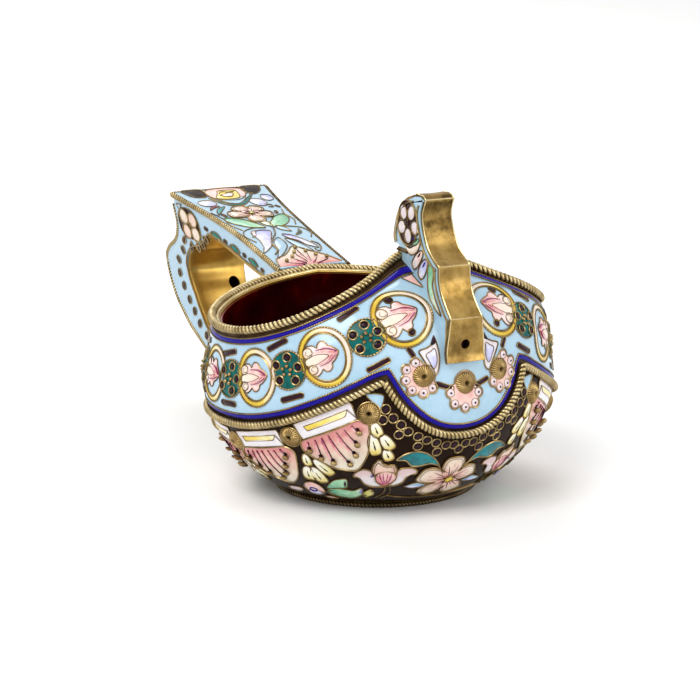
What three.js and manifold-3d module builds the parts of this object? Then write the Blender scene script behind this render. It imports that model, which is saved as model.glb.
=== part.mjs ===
// A small silver-gilt kovsh with filigree and cloisonne enamel: a round bowl on a wire foot,
// a hollow box handle with a finger loop, and a hollow fin that stands on the prow.
// Millimetres, +X to the prow, +Z up, origin on the table under the bowl's widest line.
import * as THREE from "three";
import { mergeVertices } from "three/addons/utils/BufferGeometryUtils.js";
import Module from "manifold-3d";

const wasm = await Module();
wasm.setup();

// The bowl
const halfWidth = 35; // middle to side, at the widest
const frontReach = 33.6; // middle to front, at the widest
const rearReach = 29.4; // middle to back, at the widest
const rimHeight = 38.5; // mean height of the rim
const bowlHeight = rimHeight * 1.3; // height that the wall's profile is drawn for
const bandHeight = 19.25; // mean height of the wire below the enamelled band
const lobeBottom = 17.6; // lowest point of the U-shaped lobe under the prow
const lobeEdge = 27; // degrees from the prow to each tip of the lobe
const wallThickness = 1;
const enamelThickness = 0.5;
const clearance = 0.3; // between pieces that are soldered or fused together
const floorHeight = 1.2; // top of the bowl's metal floor

// The wires
const rimWireRadius = 0.85;
const bandWireRadius = 0.8;
const footWireRadius = 0.9;
const footRadius = halfWidth * 0.5686; // the foot stands under the narrow base of the wall
const handleWireRadius = 0.8;
const wireSeat = 0.5; // how far the band's wire stands out of the enamel
const rimSeat = 0.4; // how far the rim's wire stands out and up
const borderWidth = 1.6; // cobalt line along each edge of the band
const borderGap = 1.05; // from a wire's middle to the cobalt line

// The handle
const handleReach = 56.5; // from the bowl's back wall to the knee of the loop
const handleRise = 8.7; // from the rim at the back up to the tip
const tipHalfWidth = 11.24; // of the top plate at the tip
const neckHalfWidth = 7.9; // of the top plate at the bowl
const kneeHalfWidth = 6.6; // of the loop at the height of its knee
const armHalfWidth = 5.7; // of the loop where it turns to the bowl
const panelThickness = 0.8;
const plateThickness = 0.6;
const skinThickness = 0.3;
const handleVentRadius = 1.3;
const handleVentAside = 3.3;

// The prow's fin
const prowRise = 13.2; // from the rim at the prow up to the fin's top
const tabFall = 7.3; // from the band's middle at the prow down to the strip's lower edge
const rearFootRise = 2.25; // from the rim at the prow up to the end of the strip behind the fin
const finHalf = 3.4; // half the fin's thickness
const stripThickness = 0.9;
const prowVentRadius = 0.92;
const prowVentRise = 3.2; // from the tab's lower edge up to the vent

// Raised filigree on the enamel
const reliefLift = 0.3;
const reliefHeight = 0.4;
const roundelWire = 0.9;
const rosetteDome = 0.9;
const coilDome = 1.1;
const railFall = 1.9; // from the band's wire down to the rail above the shells
const railWidth = 1.5;

const roundelRadius = 5.6;
const rosetteRadius = 3.75;
const coilRadius = 2.1;
const shellRadius = 6.6;
const ringletRadius = 1.3;
const ringletFall = 2.15; // from the lobe's wire to the middles of the ringlets

// What fills the way round under the lobe grows with the bowl's half width
const flowerRadius = halfWidth * 0.126;
const leafLength = halfWidth * 0.217;

// Counts
const aroundShell = 36;
const wireSides = 6;
const petals = 5;
const ringlets = 7; // on each side of the lobe

const full = 2 * Math.PI;
const half = 0.5;
const rad = THREE.MathUtils.degToRad;

// Shares of the sizes above, as [place, value]
const wallShares = [
  [0.0, 0.56], [0.02, 0.591], [0.06, 0.678], [0.12, 0.783], [0.2, 0.879], [0.3, 0.951],
  [0.42, 1.0], [0.56, 0.971], [0.7, 0.932], [0.84, 0.784], [1.0, 0.319],
];
const rimShares = [
  [0, 1.25], [8, 1.252], [15, 1.247], [22, 1.226], [30, 1.187], [45, 1.088], [60, 0.984], [75, 0.909],
  [90, 0.875], [105, 0.875], [120, 0.888], [150, 0.935], [180, 0.969],
];
const bandShares = [
  [0, 1.56], [15, 1.535], [27, 1.475], [35, 1.361], [45, 1.21], [60, 1.013],
  [75, 0.894], [90, 0.852], [105, 0.847], [120, 0.842], [150, 0.85], [180, 0.857],
];
const lobeShares = [
  [0, 1.0], [5, 1.015], [10, 1.065], [15, 1.16], [20, 1.305], [24, 1.46], [27, 1.613],
];

// Smooth curve through a table of [place, value], level beyond its ends.
function throughPoints(table) {
  const last = table.length - 1;
  const slope = table.map((p, i) => {
    const a = table[Math.max(i - 1, 0)], b = table[Math.min(i + 1, last)];
    return (b[1] - a[1]) / (b[0] - a[0]);
  });
  return (x) => {
    if (x <= table[0][0]) return table[0][1];
    if (x >= table[last][0]) return table[last][1];
    let i = 0;
    while (x > table[i + 1][0]) i++;
    const span = table[i + 1][0] - table[i][0], t = (x - table[i][0]) / span;
    const rise = table[i + 1][1] - table[i][1];
    const c = 3 * rise - span * (2 * slope[i] + slope[i + 1]);
    const d = span * (slope[i] + slope[i + 1]) - 2 * rise;
    return table[i][1] + t * (span * slope[i] + t * (c + t * d));
  };
}

const degreesFromProw = (angle) => Math.abs(THREE.MathUtils.radToDeg(
  Math.atan2(Math.sin(angle), Math.cos(angle))));
const wallShare = throughPoints(wallShares);
const rimShare = throughPoints(rimShares);
const bandShare = throughPoints(bandShares);
const lobeShare = throughPoints(lobeShares);
const rimAt = (angle) => rimHeight * rimShare(degreesFromProw(angle));
const bandAt = (angle) => bandHeight * bandShare(degreesFromProw(angle));
const wireAt = (angle) => degreesFromProw(angle) < lobeEdge
  ? Math.min(lobeBottom * lobeShare(degreesFromProw(angle)), bandAt(angle)) : bandAt(angle);

// How far the bowl's plan reaches at an angle from the prow, as a share of its half width.
function planShare(angle) {
  const reach = Math.cos(angle) > 0 ? frontReach : rearReach;
  return 1 / Math.hypot(Math.cos(angle) * halfWidth / reach, Math.sin(angle));
}

// How much the wall's radius grows for each length that it rises.
function wallLean(height) {
  const probe = bowlHeight / 500;
  return (wallShare((height + probe) / bowlHeight) - wallShare((height - probe) / bowlHeight))
    * halfWidth * half / probe;
}

// Distance of the wall from the bowl's middle, at an angle from the prow and a height,
// with an offset that is measured square to the wall.
const mostLean = 1.6;
const squareOff = (height, offset) =>
  offset * Math.hypot(1, THREE.MathUtils.clamp(wallLean(height), -mostLean, mostLean));
const wallRadius = (angle, height, offset = 0) =>
  (halfWidth * wallShare(height / bowlHeight) + squareOff(height, offset)) * planShare(angle);

const planPoint = (angle, radius, height) => new THREE.Vector3(
  radius * planShare(angle) * Math.cos(angle), radius * planShare(angle) * Math.sin(angle), height);

function bowlPoint(angle, height, offset = 0) {
  const out = wallRadius(angle, height, offset);
  return new THREE.Vector3(out * Math.cos(angle), out * Math.sin(angle), height);
}

// Where the back or front wall crosses a plane at this distance beside the middle.
function wallAlong(side, height, aside, offset) {
  const grown = wallShare(height / bowlHeight) + squareOff(height, offset) / halfWidth;
  const across = Math.min(Math.abs(aside) / (halfWidth * grown), 0.98);
  const reach = side > 0 ? frontReach : rearReach;
  return side * reach * grown * Math.sqrt(1 - across * across);
}

// Height reached by going a length up the wall from a height.
function upTheWall(height, length) {
  const steps = 6;
  let at = height;
  for (let i = 0; i < steps; i++) at += length / steps / Math.hypot(1, wallLean(at));
  return at;
}

// The band's wire, and the edge that keeps a distance above it (+1) or below it (-1).
const wireSteps = 360;
const wirePlaces = Array.from({ length: wireSteps + 1 }, (_, i) => {
  const angle = full * (i / wireSteps - half);
  return { along: angle * frontReach, height: wireAt(angle) };
});
function besideWire(angle, distance, side) {
  const along = Math.atan2(Math.sin(angle), Math.cos(angle)) * frontReach;
  let edge = side * wireAt(angle) + distance;
  for (const p of wirePlaces) {
    const away = Math.abs(p.along - along);
    if (away >= distance) continue;
    edge = Math.max(edge, side * p.height + Math.sqrt(distance * distance - away * away));
  }
  return side * edge;
}

// Closed surface through rings of equally many points; the ends are joined or capped.
// Each quad is split along its shorter diagonal, so parallel surfaces are split alike.
function loft(rings, joined) {
  const n = rings[0].length, points = rings.flat(), faces = [];
  const bands = joined ? rings.length : rings.length - 1;
  for (let i = 0; i < bands; i++) {
    const a = i * n, b = ((i + 1) % rings.length) * n;
    for (let j = 0; j < n; j++) {
      const k = (j + 1) % n;
      const rising = points[a + j].distanceTo(points[b + k]);
      const falling = points[a + k].distanceTo(points[b + j]);
      if (rising < falling) faces.push(a + j, a + k, b + k, a + j, b + k, b + j);
      else faces.push(a + j, a + k, b + j, a + k, b + k, b + j);
    }
  }
  if (!joined) {
    for (const [start, turn] of [[0, 1], [(rings.length - 1) * n, 0]]) {
      const middle = new THREE.Vector3();
      for (let j = 0; j < n; j++) middle.add(points[start + j]);
      points.push(middle.divideScalar(n));
      for (let j = 0; j < n; j++) {
        const pair = [start + j, start + ((j + 1) % n)];
        faces.push(points.length - 1, pair[turn], pair[1 - turn]);
      }
    }
  }
  return surface(points, faces);
}

function surface(points, faces) {
  const made = new THREE.BufferGeometry().setFromPoints(points);
  made.setIndex(faces);
  return facingOut(made);
}

// Turns every face over where they point inwards, which the sign of the volume tells.
function facingOut(geometry) {
  const at = geometry.attributes.position;
  const index = geometry.index ? geometry.index.array : Array.from({ length: at.count }, (_, i) => i);
  const [a, b, c] = [new THREE.Vector3(), new THREE.Vector3(), new THREE.Vector3()];
  let volume = 0;
  for (let i = 0; i < index.length; i += 3) {
    a.fromBufferAttribute(at, index[i]);
    b.fromBufferAttribute(at, index[i + 1]);
    c.fromBufferAttribute(at, index[i + 2]);
    volume += a.dot(b.cross(c));
  }
  if (volume < 0)
    for (let i = 0; i < index.length; i += 3)
      [index[i + 1], index[i + 2]] = [index[i + 2], index[i + 1]];
  geometry.setIndex(Array.from(index));
  return geometry;
}

function solidOf(geometry) {
  const bare = geometry.clone();
  bare.deleteAttribute("normal");
  bare.deleteAttribute("uv");
  const merged = mergeVertices(bare, 1e-4);
  const solid = new wasm.Manifold(new wasm.Mesh({
    numProp: 3,
    vertProperties: merged.attributes.position.array,
    triVerts: new Uint32Array(merged.index.array),
  }));
  return solid;
}

function geometryOf(solid) {
  const mesh = solid.getMesh();
  const made = new THREE.BufferGeometry();
  made.setAttribute("position", new THREE.BufferAttribute(mesh.vertProperties, mesh.numProp));
  made.setIndex(new THREE.BufferAttribute(mesh.triVerts, 1));
  return made;
}

const joinAll = (geometries) => geometryOf(
  geometries.map(solidOf).reduce((whole, next) => whole.add(next)));
const cutFrom = (geometry, tool) => geometryOf(solidOf(geometry).subtract(solidOf(tool)));

// Angles round the bowl, from the back round to the back again, closer together at the lobe.
const wideSteps = 18, lobeSteps = 18, lobeZone = 33;
const aroundBand = [];
for (let i = 0; i < wideSteps; i++)
  aroundBand.push(-full * half + (i / wideSteps) * rad(180 - lobeZone));
for (let i = 0; i < lobeSteps; i++)
  aroundBand.push(rad(lobeZone) * (2 * i / lobeSteps - 1));
for (let i = 0; i < wideSteps; i++)
  aroundBand.push(rad(lobeZone) + (i / wideSteps) * rad(180 - lobeZone));
const evenly = (count) => Array.from({ length: count }, (_, i) => full * i / count);

// A skin round the bowl between two edges, from its outer offset to its inner one.
function skinRound(angles, low, high, outer, inner, rows) {
  const ring = (share, offset) => angles.map((a) =>
    bowlPoint(a, THREE.MathUtils.lerp(low(a), high(a), share), offset));
  const rings = [];
  for (let i = 0; i <= rows; i++) rings.push(ring(i / rows, outer));
  for (let i = rows; i >= 0; i--) rings.push(ring(i / rows, inner));
  return loft(rings, true);
}

// A wire that closes on itself through points.
function closedWire(points, radius) {
  const up = new THREE.Vector3(0, 0, 1);
  const rings = points.map((p, i) => {
    const n = points.length;
    const along = points[(i + 1) % n].clone().sub(points[(i + n - 1) % n]).normalize();
    const out = along.clone().cross(up).normalize(), rise = out.clone().cross(along);
    return Array.from({ length: wireSides }, (_, j) => {
      const turn = full * (j + half) / wireSides;
      return p.clone().addScaledVector(out, -radius * Math.cos(turn))
        .addScaledVector(rise, radius * Math.sin(turn));
    });
  });
  return loft(rings, true);
}

// A wire with two ends along a curve.
function openWire(points, radius, steps) {
  const section = new THREE.Shape();
  for (let j = 0; j < wireSides; j++) {
    const turn = full * (j + half) / wireSides;
    const [x, y] = [radius * Math.cos(turn), radius * Math.sin(turn)];
    if (j) section.lineTo(x, y);
    else section.moveTo(x, y);
  }
  return new THREE.ExtrudeGeometry(section, {
    extrudePath: new THREE.CatmullRomCurve3(points, false, "centripetal"),
    steps, bevelEnabled: false,
  });
}

// The bowl's metal shell, its enamels and its wires
const skinInner = -enamelThickness;
const shellOuter = skinInner - clearance;
const shellInner = shellOuter - wallThickness;
const liningOuter = shellInner - clearance;
const liningInner = liningOuter - enamelThickness;
const footTop = 2 * footWireRadius + clearance;

// Rings round the wall between a base and the rim, at shares of the way up.
const wallRings = (angles, shares, base, offset) => shares.map((share) => angles.map((a) =>
  bowlPoint(a, THREE.MathUtils.lerp(base, rimAt(a), share), offset)));
const flatRings = (angles, radii, height) => radii.map((radius) =>
  angles.map((a) => planPoint(a, radius, height)));

const floorShares = [0.84, 0.4]; // of the wall's radius where it leaves the floor
const floorTurn = 1.6; // from the floor up to where the wall starts
const lipShare = 0.97; // of the wall's height, where the lining leaves a bare gilt lip
function insideRings(angles, offset, floor, downward) {
  const base = floorHeight + floorTurn;
  const foot = halfWidth * wallShare(base / bowlHeight) + offset;
  const rings = [
    ...flatRings(angles, floorShares.map((share) => share * foot).reverse(), floor),
    ...wallRings(angles, [0, 0.13, 0.31, 0.5, 0.67, 0.81, lipShare], base, offset),
  ];
  return downward ? rings.reverse() : rings;
}

function metalShell() {
  const angles = evenly(aroundShell), flatRadius = footRadius - footWireRadius - clearance;
  return loft([
    ...flatRings(angles, [flatRadius * half, flatRadius], 0),
    ...flatRings(angles, [flatRadius], footTop),
    ...wallRings(angles, [0, 0.1, 0.23, 0.4, 0.56, 0.69, 0.8, 0.9, 1], footTop, shellOuter),
    ...wallRings(angles, [1], floorHeight, shellInner),
    ...insideRings(angles, shellInner, floorHeight, true),
  ], false);
}

function innerLining() {
  const angles = evenly(aroundShell);
  return loft([
    ...insideRings(angles, liningOuter, floorHeight + clearance, false),
    ...insideRings(angles, liningInner, floorHeight + clearance + enamelThickness, true),
  ], false);
}

const borderFar = borderGap + borderWidth;
const skyLow = (a) => besideWire(a, borderFar + clearance, 1);
const rimFall = 0.95; // from the rim down to its cobalt line
const rimBorderLow = (a) => rimAt(a) - rimFall - borderWidth;
const bandMiddle = (a) => half * (bandAt(a) + borderFar + rimBorderLow(a));
const skyBand = skinRound(aroundBand, skyLow, (a) => rimBorderLow(a) - clearance,
  0, skinInner, 7);
const rimBorder = skinRound(aroundBand, rimBorderLow, (a) => rimAt(a) - rimFall,
  0, skinInner, 1);
const wireBorder = skinRound(aroundBand, (a) => besideWire(a, borderGap, 1),
  (a) => besideWire(a, borderFar, 1), 0, skinInner, 1);
const lowerField = skinRound(aroundBand, () => footTop + clearance,
  (a) => besideWire(a, borderGap, -1), 0, skinInner, 5);

const rimWire = closedWire(evenly(aroundShell + wireSides).map((a) =>
  bowlPoint(a, rimAt(a) + rimSeat, rimSeat)), rimWireRadius);
const bandWire = closedWire(aroundBand.map((a) =>
  bowlPoint(a, wireAt(a), wireSeat)), bandWireRadius);
const footWire = closedWire(evenly(aroundShell).map((a) =>
  planPoint(a, footRadius, footWireRadius)), footWireRadius);

// Side view of the handle, as shares of its reach (back from the wall) and of its height
const backShares = [
  [0.793, 1.0], [0.8, 0.937], [0.802, 0.891], [0.806, 0.861], [0.837, 0.8], [0.873, 0.761],
  [0.949, 0.711], [1.0, 0.652], [1.0, 0.607], [0.985, 0.552], [0.962, 0.498], [0.93, 0.446],
  [0.88, 0.4], [0.826, 0.357], [0.755, 0.317], [0.61, 0.246], [0.43, 0.21], [0.25, 0.203],
  [-0.04, 0.223],
];
const loopShares = [
  [0.0, 0.735], [0.13, 0.742], [0.256, 0.765], [0.354, 0.791], [0.448, 0.817], [0.52, 0.835],
  [0.566, 0.838], [0.6, 0.8], [0.65, 0.765], [0.725, 0.739], [0.772, 0.696], [0.8, 0.637],
  [0.784, 0.583], [0.757, 0.535], [0.722, 0.467], [0.667, 0.398], [0.57, 0.345],
  [0.43, 0.311], [0.25, 0.302], [0.0, 0.315],
];
const tipShare = 0.793;
const handleVentShare = 0.557; // of the handle's height, up to the vent in the loop's lining
const topShares = [[0, 0.815], [0.16, 0.858], [0.34, 0.905], [0.53, 0.946], [0.7, 0.98], [tipShare, 1]];
const spreadShares = [[0, 0], [0.16, 0], [0.34, 0.07], [0.53, 0.33], [0.7, 0.74], [tipShare, 1]];

const handleHeight = rimAt(full * half) + handleRise;
const handleRoot = -rearReach * wallShare(rimAt(full * half) / bowlHeight);
const handleX = (share) => handleRoot - share * handleReach;
const tipX = handleX(tipShare);
const topShare = throughPoints(topShares), spreadShare = throughPoints(spreadShares);
const reachShare = (x) => (handleRoot - x) / handleReach;
const plateHeight = (x) => handleHeight * topShare(reachShare(x));
const plateSpread = (x) => neckHalfWidth + (tipHalfWidth - neckHalfWidth) * spreadShare(reachShare(x));

// Half the handle's width: it leans in from the plate to the knee, and again to the leg.
const kneeShare = 0.63, armShare = 0.43;
const kneeHeight = handleHeight * kneeShare, armHeight = handleHeight * armShare;
function handleSpread(x, z) {
  const upper = THREE.MathUtils.clamp((z - kneeHeight) / (plateHeight(x) - kneeHeight), 0, 1);
  const lower = THREE.MathUtils.clamp((z - armHeight) / (kneeHeight - armHeight), 0, 1);
  return z > kneeHeight ? kneeHalfWidth + (plateSpread(x) - kneeHalfWidth) * upper
    : armHalfWidth + (kneeHalfWidth - armHalfWidth) * lower;
}

// A smooth line in side view through shares, as points { x, z }.
function sideLine(shares, toX, toZ, count) {
  const curve = new THREE.CatmullRomCurve3(
    shares.map(([x, z]) => new THREE.Vector3(toX(x), 0, toZ(z))), false, "centripetal");
  return curve.getSpacedPoints(count).map((p) => ({ x: p.x, z: p.z }));
}
const nearestTo = (line, height) => line.reduce((best, p) =>
  Math.abs(p.z - height) < Math.abs(best.z - height) ? p : best);

// The line moved sideways, to its right as it runs where the distance is positive.
function movedAside(line, distance) {
  return line.map((p, i) => {
    const a = line[Math.max(i - 1, 0)], b = line[Math.min(i + 1, line.length - 1)];
    const length = Math.hypot(b.x - a.x, b.z - a.z);
    return { x: p.x + distance * (b.z - a.z) / length, z: p.z - distance * (b.x - a.x) / length };
  });
}

const handleZ = (share) => share * handleHeight;
const backLine = sideLine(backShares, handleX, handleZ, 26);
const loopLine = sideLine(loopShares, handleX, handleZ, 26);
const topLine = sideLine(topShares, handleX, handleZ, 12);

// A panel with its outline in side view, pushed out to the handle's width.
function sidePanel(outline, side, outer, thickness, spread) {
  const shape = new THREE.Shape(outline.map((p) => new THREE.Vector2(p.x, p.z)));
  const made = new THREE.ExtrudeGeometry(shape, { depth: 1, bevelEnabled: false });
  const at = made.attributes.position;
  for (let i = 0; i < at.count; i++) {
    const x = at.getX(i), z = at.getY(i);
    const y = spread(x, z) - outer - (side < 0 ? at.getZ(i) : 1 - at.getZ(i)) * thickness;
    at.setXYZ(i, x, side * y, z);
  }
  return facingOut(made);
}

// A strip with its path in side view, as wide as the handle or fin is there.
function sideStrip(line, thickness, spread, inset) {
  const inner = movedAside(line, thickness);
  return loft(line.map((p, i) => {
    const q = inner[i], y = spread(p.x, p.z) - inset;
    return [
      new THREE.Vector3(p.x, -y, p.z), new THREE.Vector3(p.x, y, p.z),
      new THREE.Vector3(q.x, y, q.z), new THREE.Vector3(q.x, -y, q.z),
    ];
  }), false);
}

const wireEdge = handleWireRadius + clearance;
const nearRim = rimSeat + rimWireRadius + clearance;

// The line, cut where it comes within a gap of the bowl's back wall at a place beside the middle.
function cutAtBowl(line, gap, aside) {
  const room = (p) => wallAlong(-1, p.z, aside ? aside(p) : 0, 0) - gap - p.x;
  const kept = [];
  line.forEach((p, i) => {
    const before = line[Math.max(i - 1, 0)], share = room(before) / (room(before) - room(p));
    if (room(before) * room(p) < 0)
      kept.push({
        x: THREE.MathUtils.lerp(before.x, p.x, share), z: THREE.MathUtils.lerp(before.z, p.z, share),
      });
    if (room(p) > 0) kept.push(p);
  });
  return kept;
}
const panelAside = (p) => handleSpread(p.x, p.z);

// C-shaped outline of a side panel: over the top, down the back, in under the loop and back.
function panelOutline() {
  const top = cutAtBowl(movedAside(topLine, -wireEdge), nearRim, panelAside);
  const back = cutAtBowl(movedAside(backLine, -wireEdge).slice(2), clearance, panelAside);
  const loop = cutAtBowl(movedAside(loopLine, panelThickness + clearance), clearance, panelAside);
  const tip = top.filter((p) => p.x > back[0].x + clearance);
  return [...tip, ...back, ...loop.reverse()];
}
const handleOutline = panelOutline();
const panelOuter = skinThickness + clearance;

// The top plate and its enamel follow the handle's top line.
function topSheet(low, thickness) {
  const end = tipX + wireEdge;
  const line = cutAtBowl(topLine, nearRim).filter((p) => p.x > end);
  line.push({ x: end, z: plateHeight(end) });
  return loft(line.map((p) => {
    const y = plateSpread(p.x) - wireEdge;
    return [
      new THREE.Vector3(p.x, y, p.z + low), new THREE.Vector3(p.x, -y, p.z + low),
      new THREE.Vector3(p.x, -y, p.z + low + thickness),
      new THREE.Vector3(p.x, y, p.z + low + thickness),
    ];
  }), false);
}

const loopPath = cutAtBowl(loopLine, clearance);
const loopLining = sideStrip(loopPath, panelThickness, handleSpread, 0);
const handleVentHeight = handleZ(handleVentShare);
const ventPlace = nearestTo(loopPath.filter((p) => p.x < handleX(half)), handleVentHeight);
function drill(radius, x, y, z) {
  const overrun = 6 * stripThickness;
  const made = new THREE.CylinderGeometry(radius, radius, overrun, 12);
  made.rotateZ(full / 4);
  made.translate(x, y, z);
  return made;
}
const handleLining = cutFrom(loopLining,
  drill(handleVentRadius, ventPlace.x, handleVentAside, handleVentHeight));

const backPath = cutAtBowl(backLine.slice(1), clearance);
const backStrip = sideStrip(backPath, -panelThickness, handleSpread, wireEdge + clearance);

const wireSinkShare = 0.25;
const wireLift = handleWireRadius * wireSinkShare; // how far the back's wires lie inside the panels
function topWire(side) {
  const points = cutAtBowl(topLine, nearRim, (p) => plateSpread(p.x))
    .map((p) => new THREE.Vector3(p.x, side * plateSpread(p.x), p.z));
  return openWire(points, handleWireRadius, 12);
}
function backWire(side) {
  const points = cutAtBowl(backLine.slice(1), handleWireRadius, panelAside)
    .map((p) => new THREE.Vector3(p.x, side * (handleSpread(p.x, p.z) - wireLift), p.z));
  points[0].z = handleHeight - 2 * handleWireRadius - clearance;
  return openWire(points, handleWireRadius, 24);
}
const endHalf = tipHalfWidth - handleWireRadius - clearance;
const endWire = openWire([-1, -half, half, 1].map((share) =>
  new THREE.Vector3(tipX, share * endHalf, handleHeight)), handleWireRadius, 3);

// Side view of the fin: shares of the bowl's front reach, and of the way up from the tab's
// lower edge, or behind the fin from the end of its rear strip
const stripShares = [
  [1.006, 0], [0.992, 0.044], [0.992, 0.168], [0.994, 0.277], [0.933, 0.345], [0.889, 0.407],
  [0.858, 0.48], [0.849, 0.578], [0.784, 0.617], [0.720, 0.674], [0.683, 0.738], [0.653, 0.813],
  [0.643, 0.871], [0.673, 0.969], [0.629, 0.996], [0.562, 0.99],
];
const rearShares = [
  [0.547, 0.944], [0.471, 0.854], [0.408, 0.708], [0.369, 0.517], [0.342, 0.275],
  [0.336, 0.101], [0.351, 0],
];
const stripWidthShares = [[-0.04, 1.2], [0.085, 1.16], [0.293, 1.0], [0.584, 0.99], [1, 0.9]];
const flankFootShare = 0.085;
const stripWidthShare = throughPoints(stripWidthShares);
const tabHeight = bandMiddle(0) - tabFall;
const prowHeight = rimAt(0) + prowRise, rearFootHeight = rimAt(0) + rearFootRise;
const finX = (share) => share * frontReach;
const finZ = (share) => THREE.MathUtils.lerp(tabHeight, prowHeight, share);
const rearZ = (share) => THREE.MathUtils.lerp(rearFootHeight, prowHeight, share);
const finSpread = (x, z) =>
  finHalf * stripWidthShare((z - tabHeight) / (prowHeight - tabHeight));
const stripLine = sideLine(stripShares, finX, finZ, 28);
const rearLine = sideLine(rearShares, finX, rearZ, 8);
const frontVent = nearestTo(stripLine, tabHeight + prowVentRise);
const frontStrip = cutFrom(sideStrip(stripLine, -stripThickness, finSpread, 0),
  drill(prowVentRadius, frontVent.x, 0, tabHeight + prowVentRise));
const rearStrip = sideStrip(rearLine, -stripThickness, () => finHalf, 0);

// The flank's outline runs inside both strips and then down the bowl's wall.
function flankOutline(aside) {
  const inset = stripThickness + clearance;
  const low = finZ(flankFootShare), steps = 9;
  const front = movedAside(stripLine, -inset).filter((p) => p.z > low);
  const rear = movedAside(rearLine, -inset);
  const wall = [];
  const high = rear[rear.length - 1].z;
  for (let i = 0; i <= steps; i++) {
    const z = THREE.MathUtils.lerp(high, low, i / steps);
    const rimClear = z > rimAt(0) - rimWireRadius - 3 * clearance ? 2 * rimWireRadius : 0;
    wall.push({ x: wallAlong(1, z, aside, clearance) + rimClear, z });
  }
  const clear = (p) => p.x > wallAlong(1, Math.min(p.z, rimAt(0)), aside, clearance) - clearance;
  const behind = (p) => p.x < nearestTo(front, p.z).x - clearance;
  return [...front.filter(clear), ...rear, ...wall.filter(behind)];
}
const flankShape = flankOutline(finHalf * half);

// Raised work: a plate on the wall, drawn round a middle as radius by direction.
function wallPlate(angle, height, radiusAt, spokes, rings, lift, thickness) {
  const reach = wallRadius(angle, height);
  const place = (share, turn, offset) => {
    const length = share * radiusAt(turn);
    return bowlPoint(angle + length * Math.cos(turn) / reach,
      upTheWall(height, length * Math.sin(turn)), offset);
  };
  const loops = [];
  const turns = Array.from({ length: spokes }, (_, j) => full * j / spokes);
  for (let i = 1; i <= rings; i++)
    loops.push(turns.map((t) => place(i / rings, t, lift)));
  for (let i = rings; i >= 1; i--)
    loops.push(turns.map((t) => place(i / rings, t, lift + thickness(i / rings, t))));
  const made = loft(loops, false);
  const at = made.attributes.position;
  const middleLow = place(0, 0, lift), middleHigh = place(0, 0, lift + thickness(0, 0));
  at.setXYZ(at.count - 2, ...middleLow.toArray());
  at.setXYZ(at.count - 1, ...middleHigh.toArray());
  return facingOut(made);
}

function wallRing(angle, height, radius, width, segments) {
  const rings = Array.from({ length: segments }, (_, j) => {
    const turn = full * j / segments;
    const place = (r, offset) => bowlPoint(
      angle + r * Math.cos(turn) / wallRadius(angle, height),
      upTheWall(height, r * Math.sin(turn)), offset);
    return [place(radius, reliefLift), place(radius, reliefLift + reliefHeight),
      place(radius - width, reliefLift + reliefHeight), place(radius - width, reliefLift)];
  });
  return loft(rings, true);
}

const level = () => reliefHeight;
const dome = (top) => (share) => reliefHeight + (top - reliefHeight) * (1 - share * share);

// The angle reached by going a length round the bowl from an angle, along a line of heights.
function goAlong(line, angle, length) {
  const steps = 12, probe = rad(1);
  let at = angle;
  for (let i = 0; i < steps; i++)
    at += probe * (length / steps)
      / bowlPoint(at, line(at)).distanceTo(bowlPoint(at + probe, line(at + probe)));
  return at;
}

// Angles of a row of ornaments: each lies near the last, by a share of their two radii.
function rowOfAngles(line, firstDegrees, radii, nearShares) {
  const angles = [rad(firstDegrees)];
  nearShares.forEach((share, i) =>
    angles.push(goAlong(line, angles[i], share * (radii[i] + radii[i + 1]))));
  return angles;
}

// The band's frieze: ringed roundels and rosettes in turn, each soldered to the next.
const roundelSizeShares = [1.03, 1, 0.93, 0.93, 0.93, 0.93];
const friezeNearShares = [
  0.76, 0.924, 0.832, 0.84, 0.783, 0.756, 0.766, 0.729, 0.732, 0.702, 0.682,
];
const friezeRadii = roundelSizeShares.flatMap((share) => [roundelRadius * share, rosetteRadius]);
const friezeAngles = rowOfAngles(bandMiddle, 20.5, friezeRadii, friezeNearShares);
function bandFrieze(side) {
  return joinAll(friezeAngles.map((angle, i) => i % 2
    ? wallPlate(side * angle, bandMiddle(angle), () => rosetteRadius, 8, 1, reliefLift,
      dome(rosetteDome))
    : wallRing(side * angle, bandMiddle(angle), friezeRadii[i], roundelWire, 12)));
}

// The lower frieze: coiled discs and shells in turn, which hang from a rail.
const coilFallShares = [0.235, 0.18, 0.21, 0.21, 0.21];
const shellFallShare = 0.25;
const railNearShares = [0.993, 0.971, 0.933, 0.885, 0.855, 0.84, 0.808, 0.779];
const railRadii = coilFallShares.flatMap(() => [coilRadius, shellRadius]);
const railAngles = rowOfAngles((a) => bandAt(a) - shellFallShare * bandHeight, 31.4,
  railRadii, railNearShares);
const shellTopShare = 0.62; // how far the shell's straight top lies below a full circle
const shellFootShare = -0.05;
function frontRail(side) {
  const steps = 20, first = railAngles[0], last = railAngles[railAngles.length - 1];
  return loft(Array.from({ length: steps + 1 }, (_, i) => {
    const a = THREE.MathUtils.lerp(first, last, i / steps), top = bandAt(a) - railFall;
    const place = (height, offset) => bowlPoint(side * a, height, offset);
    return [place(top - railWidth, reliefLift), place(top, reliefLift),
      place(top, reliefLift + reliefHeight), place(top - railWidth, reliefLift + reliefHeight)];
  }), false);
}
function lowerFrieze(side) {
  const edge = (turn) => shellRadius * (1 - Math.sin(turn)
    * (Math.sin(turn) > 0 ? shellTopShare : shellFootShare));
  const hung = railAngles.map((angle, i) => {
    const fallShare = i % 2 ? shellFallShare : coilFallShares[i / 2];
    const height = bandAt(angle) - fallShare * bandHeight;
    return i % 2 ? wallPlate(side * angle, height, edge, 12, 1, reliefLift, level)
      : wallPlate(side * angle, height, () => coilRadius, 8, 1, reliefLift, dome(coilDome));
  });
  return joinAll([frontRail(side), ...hung]);
}

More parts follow.
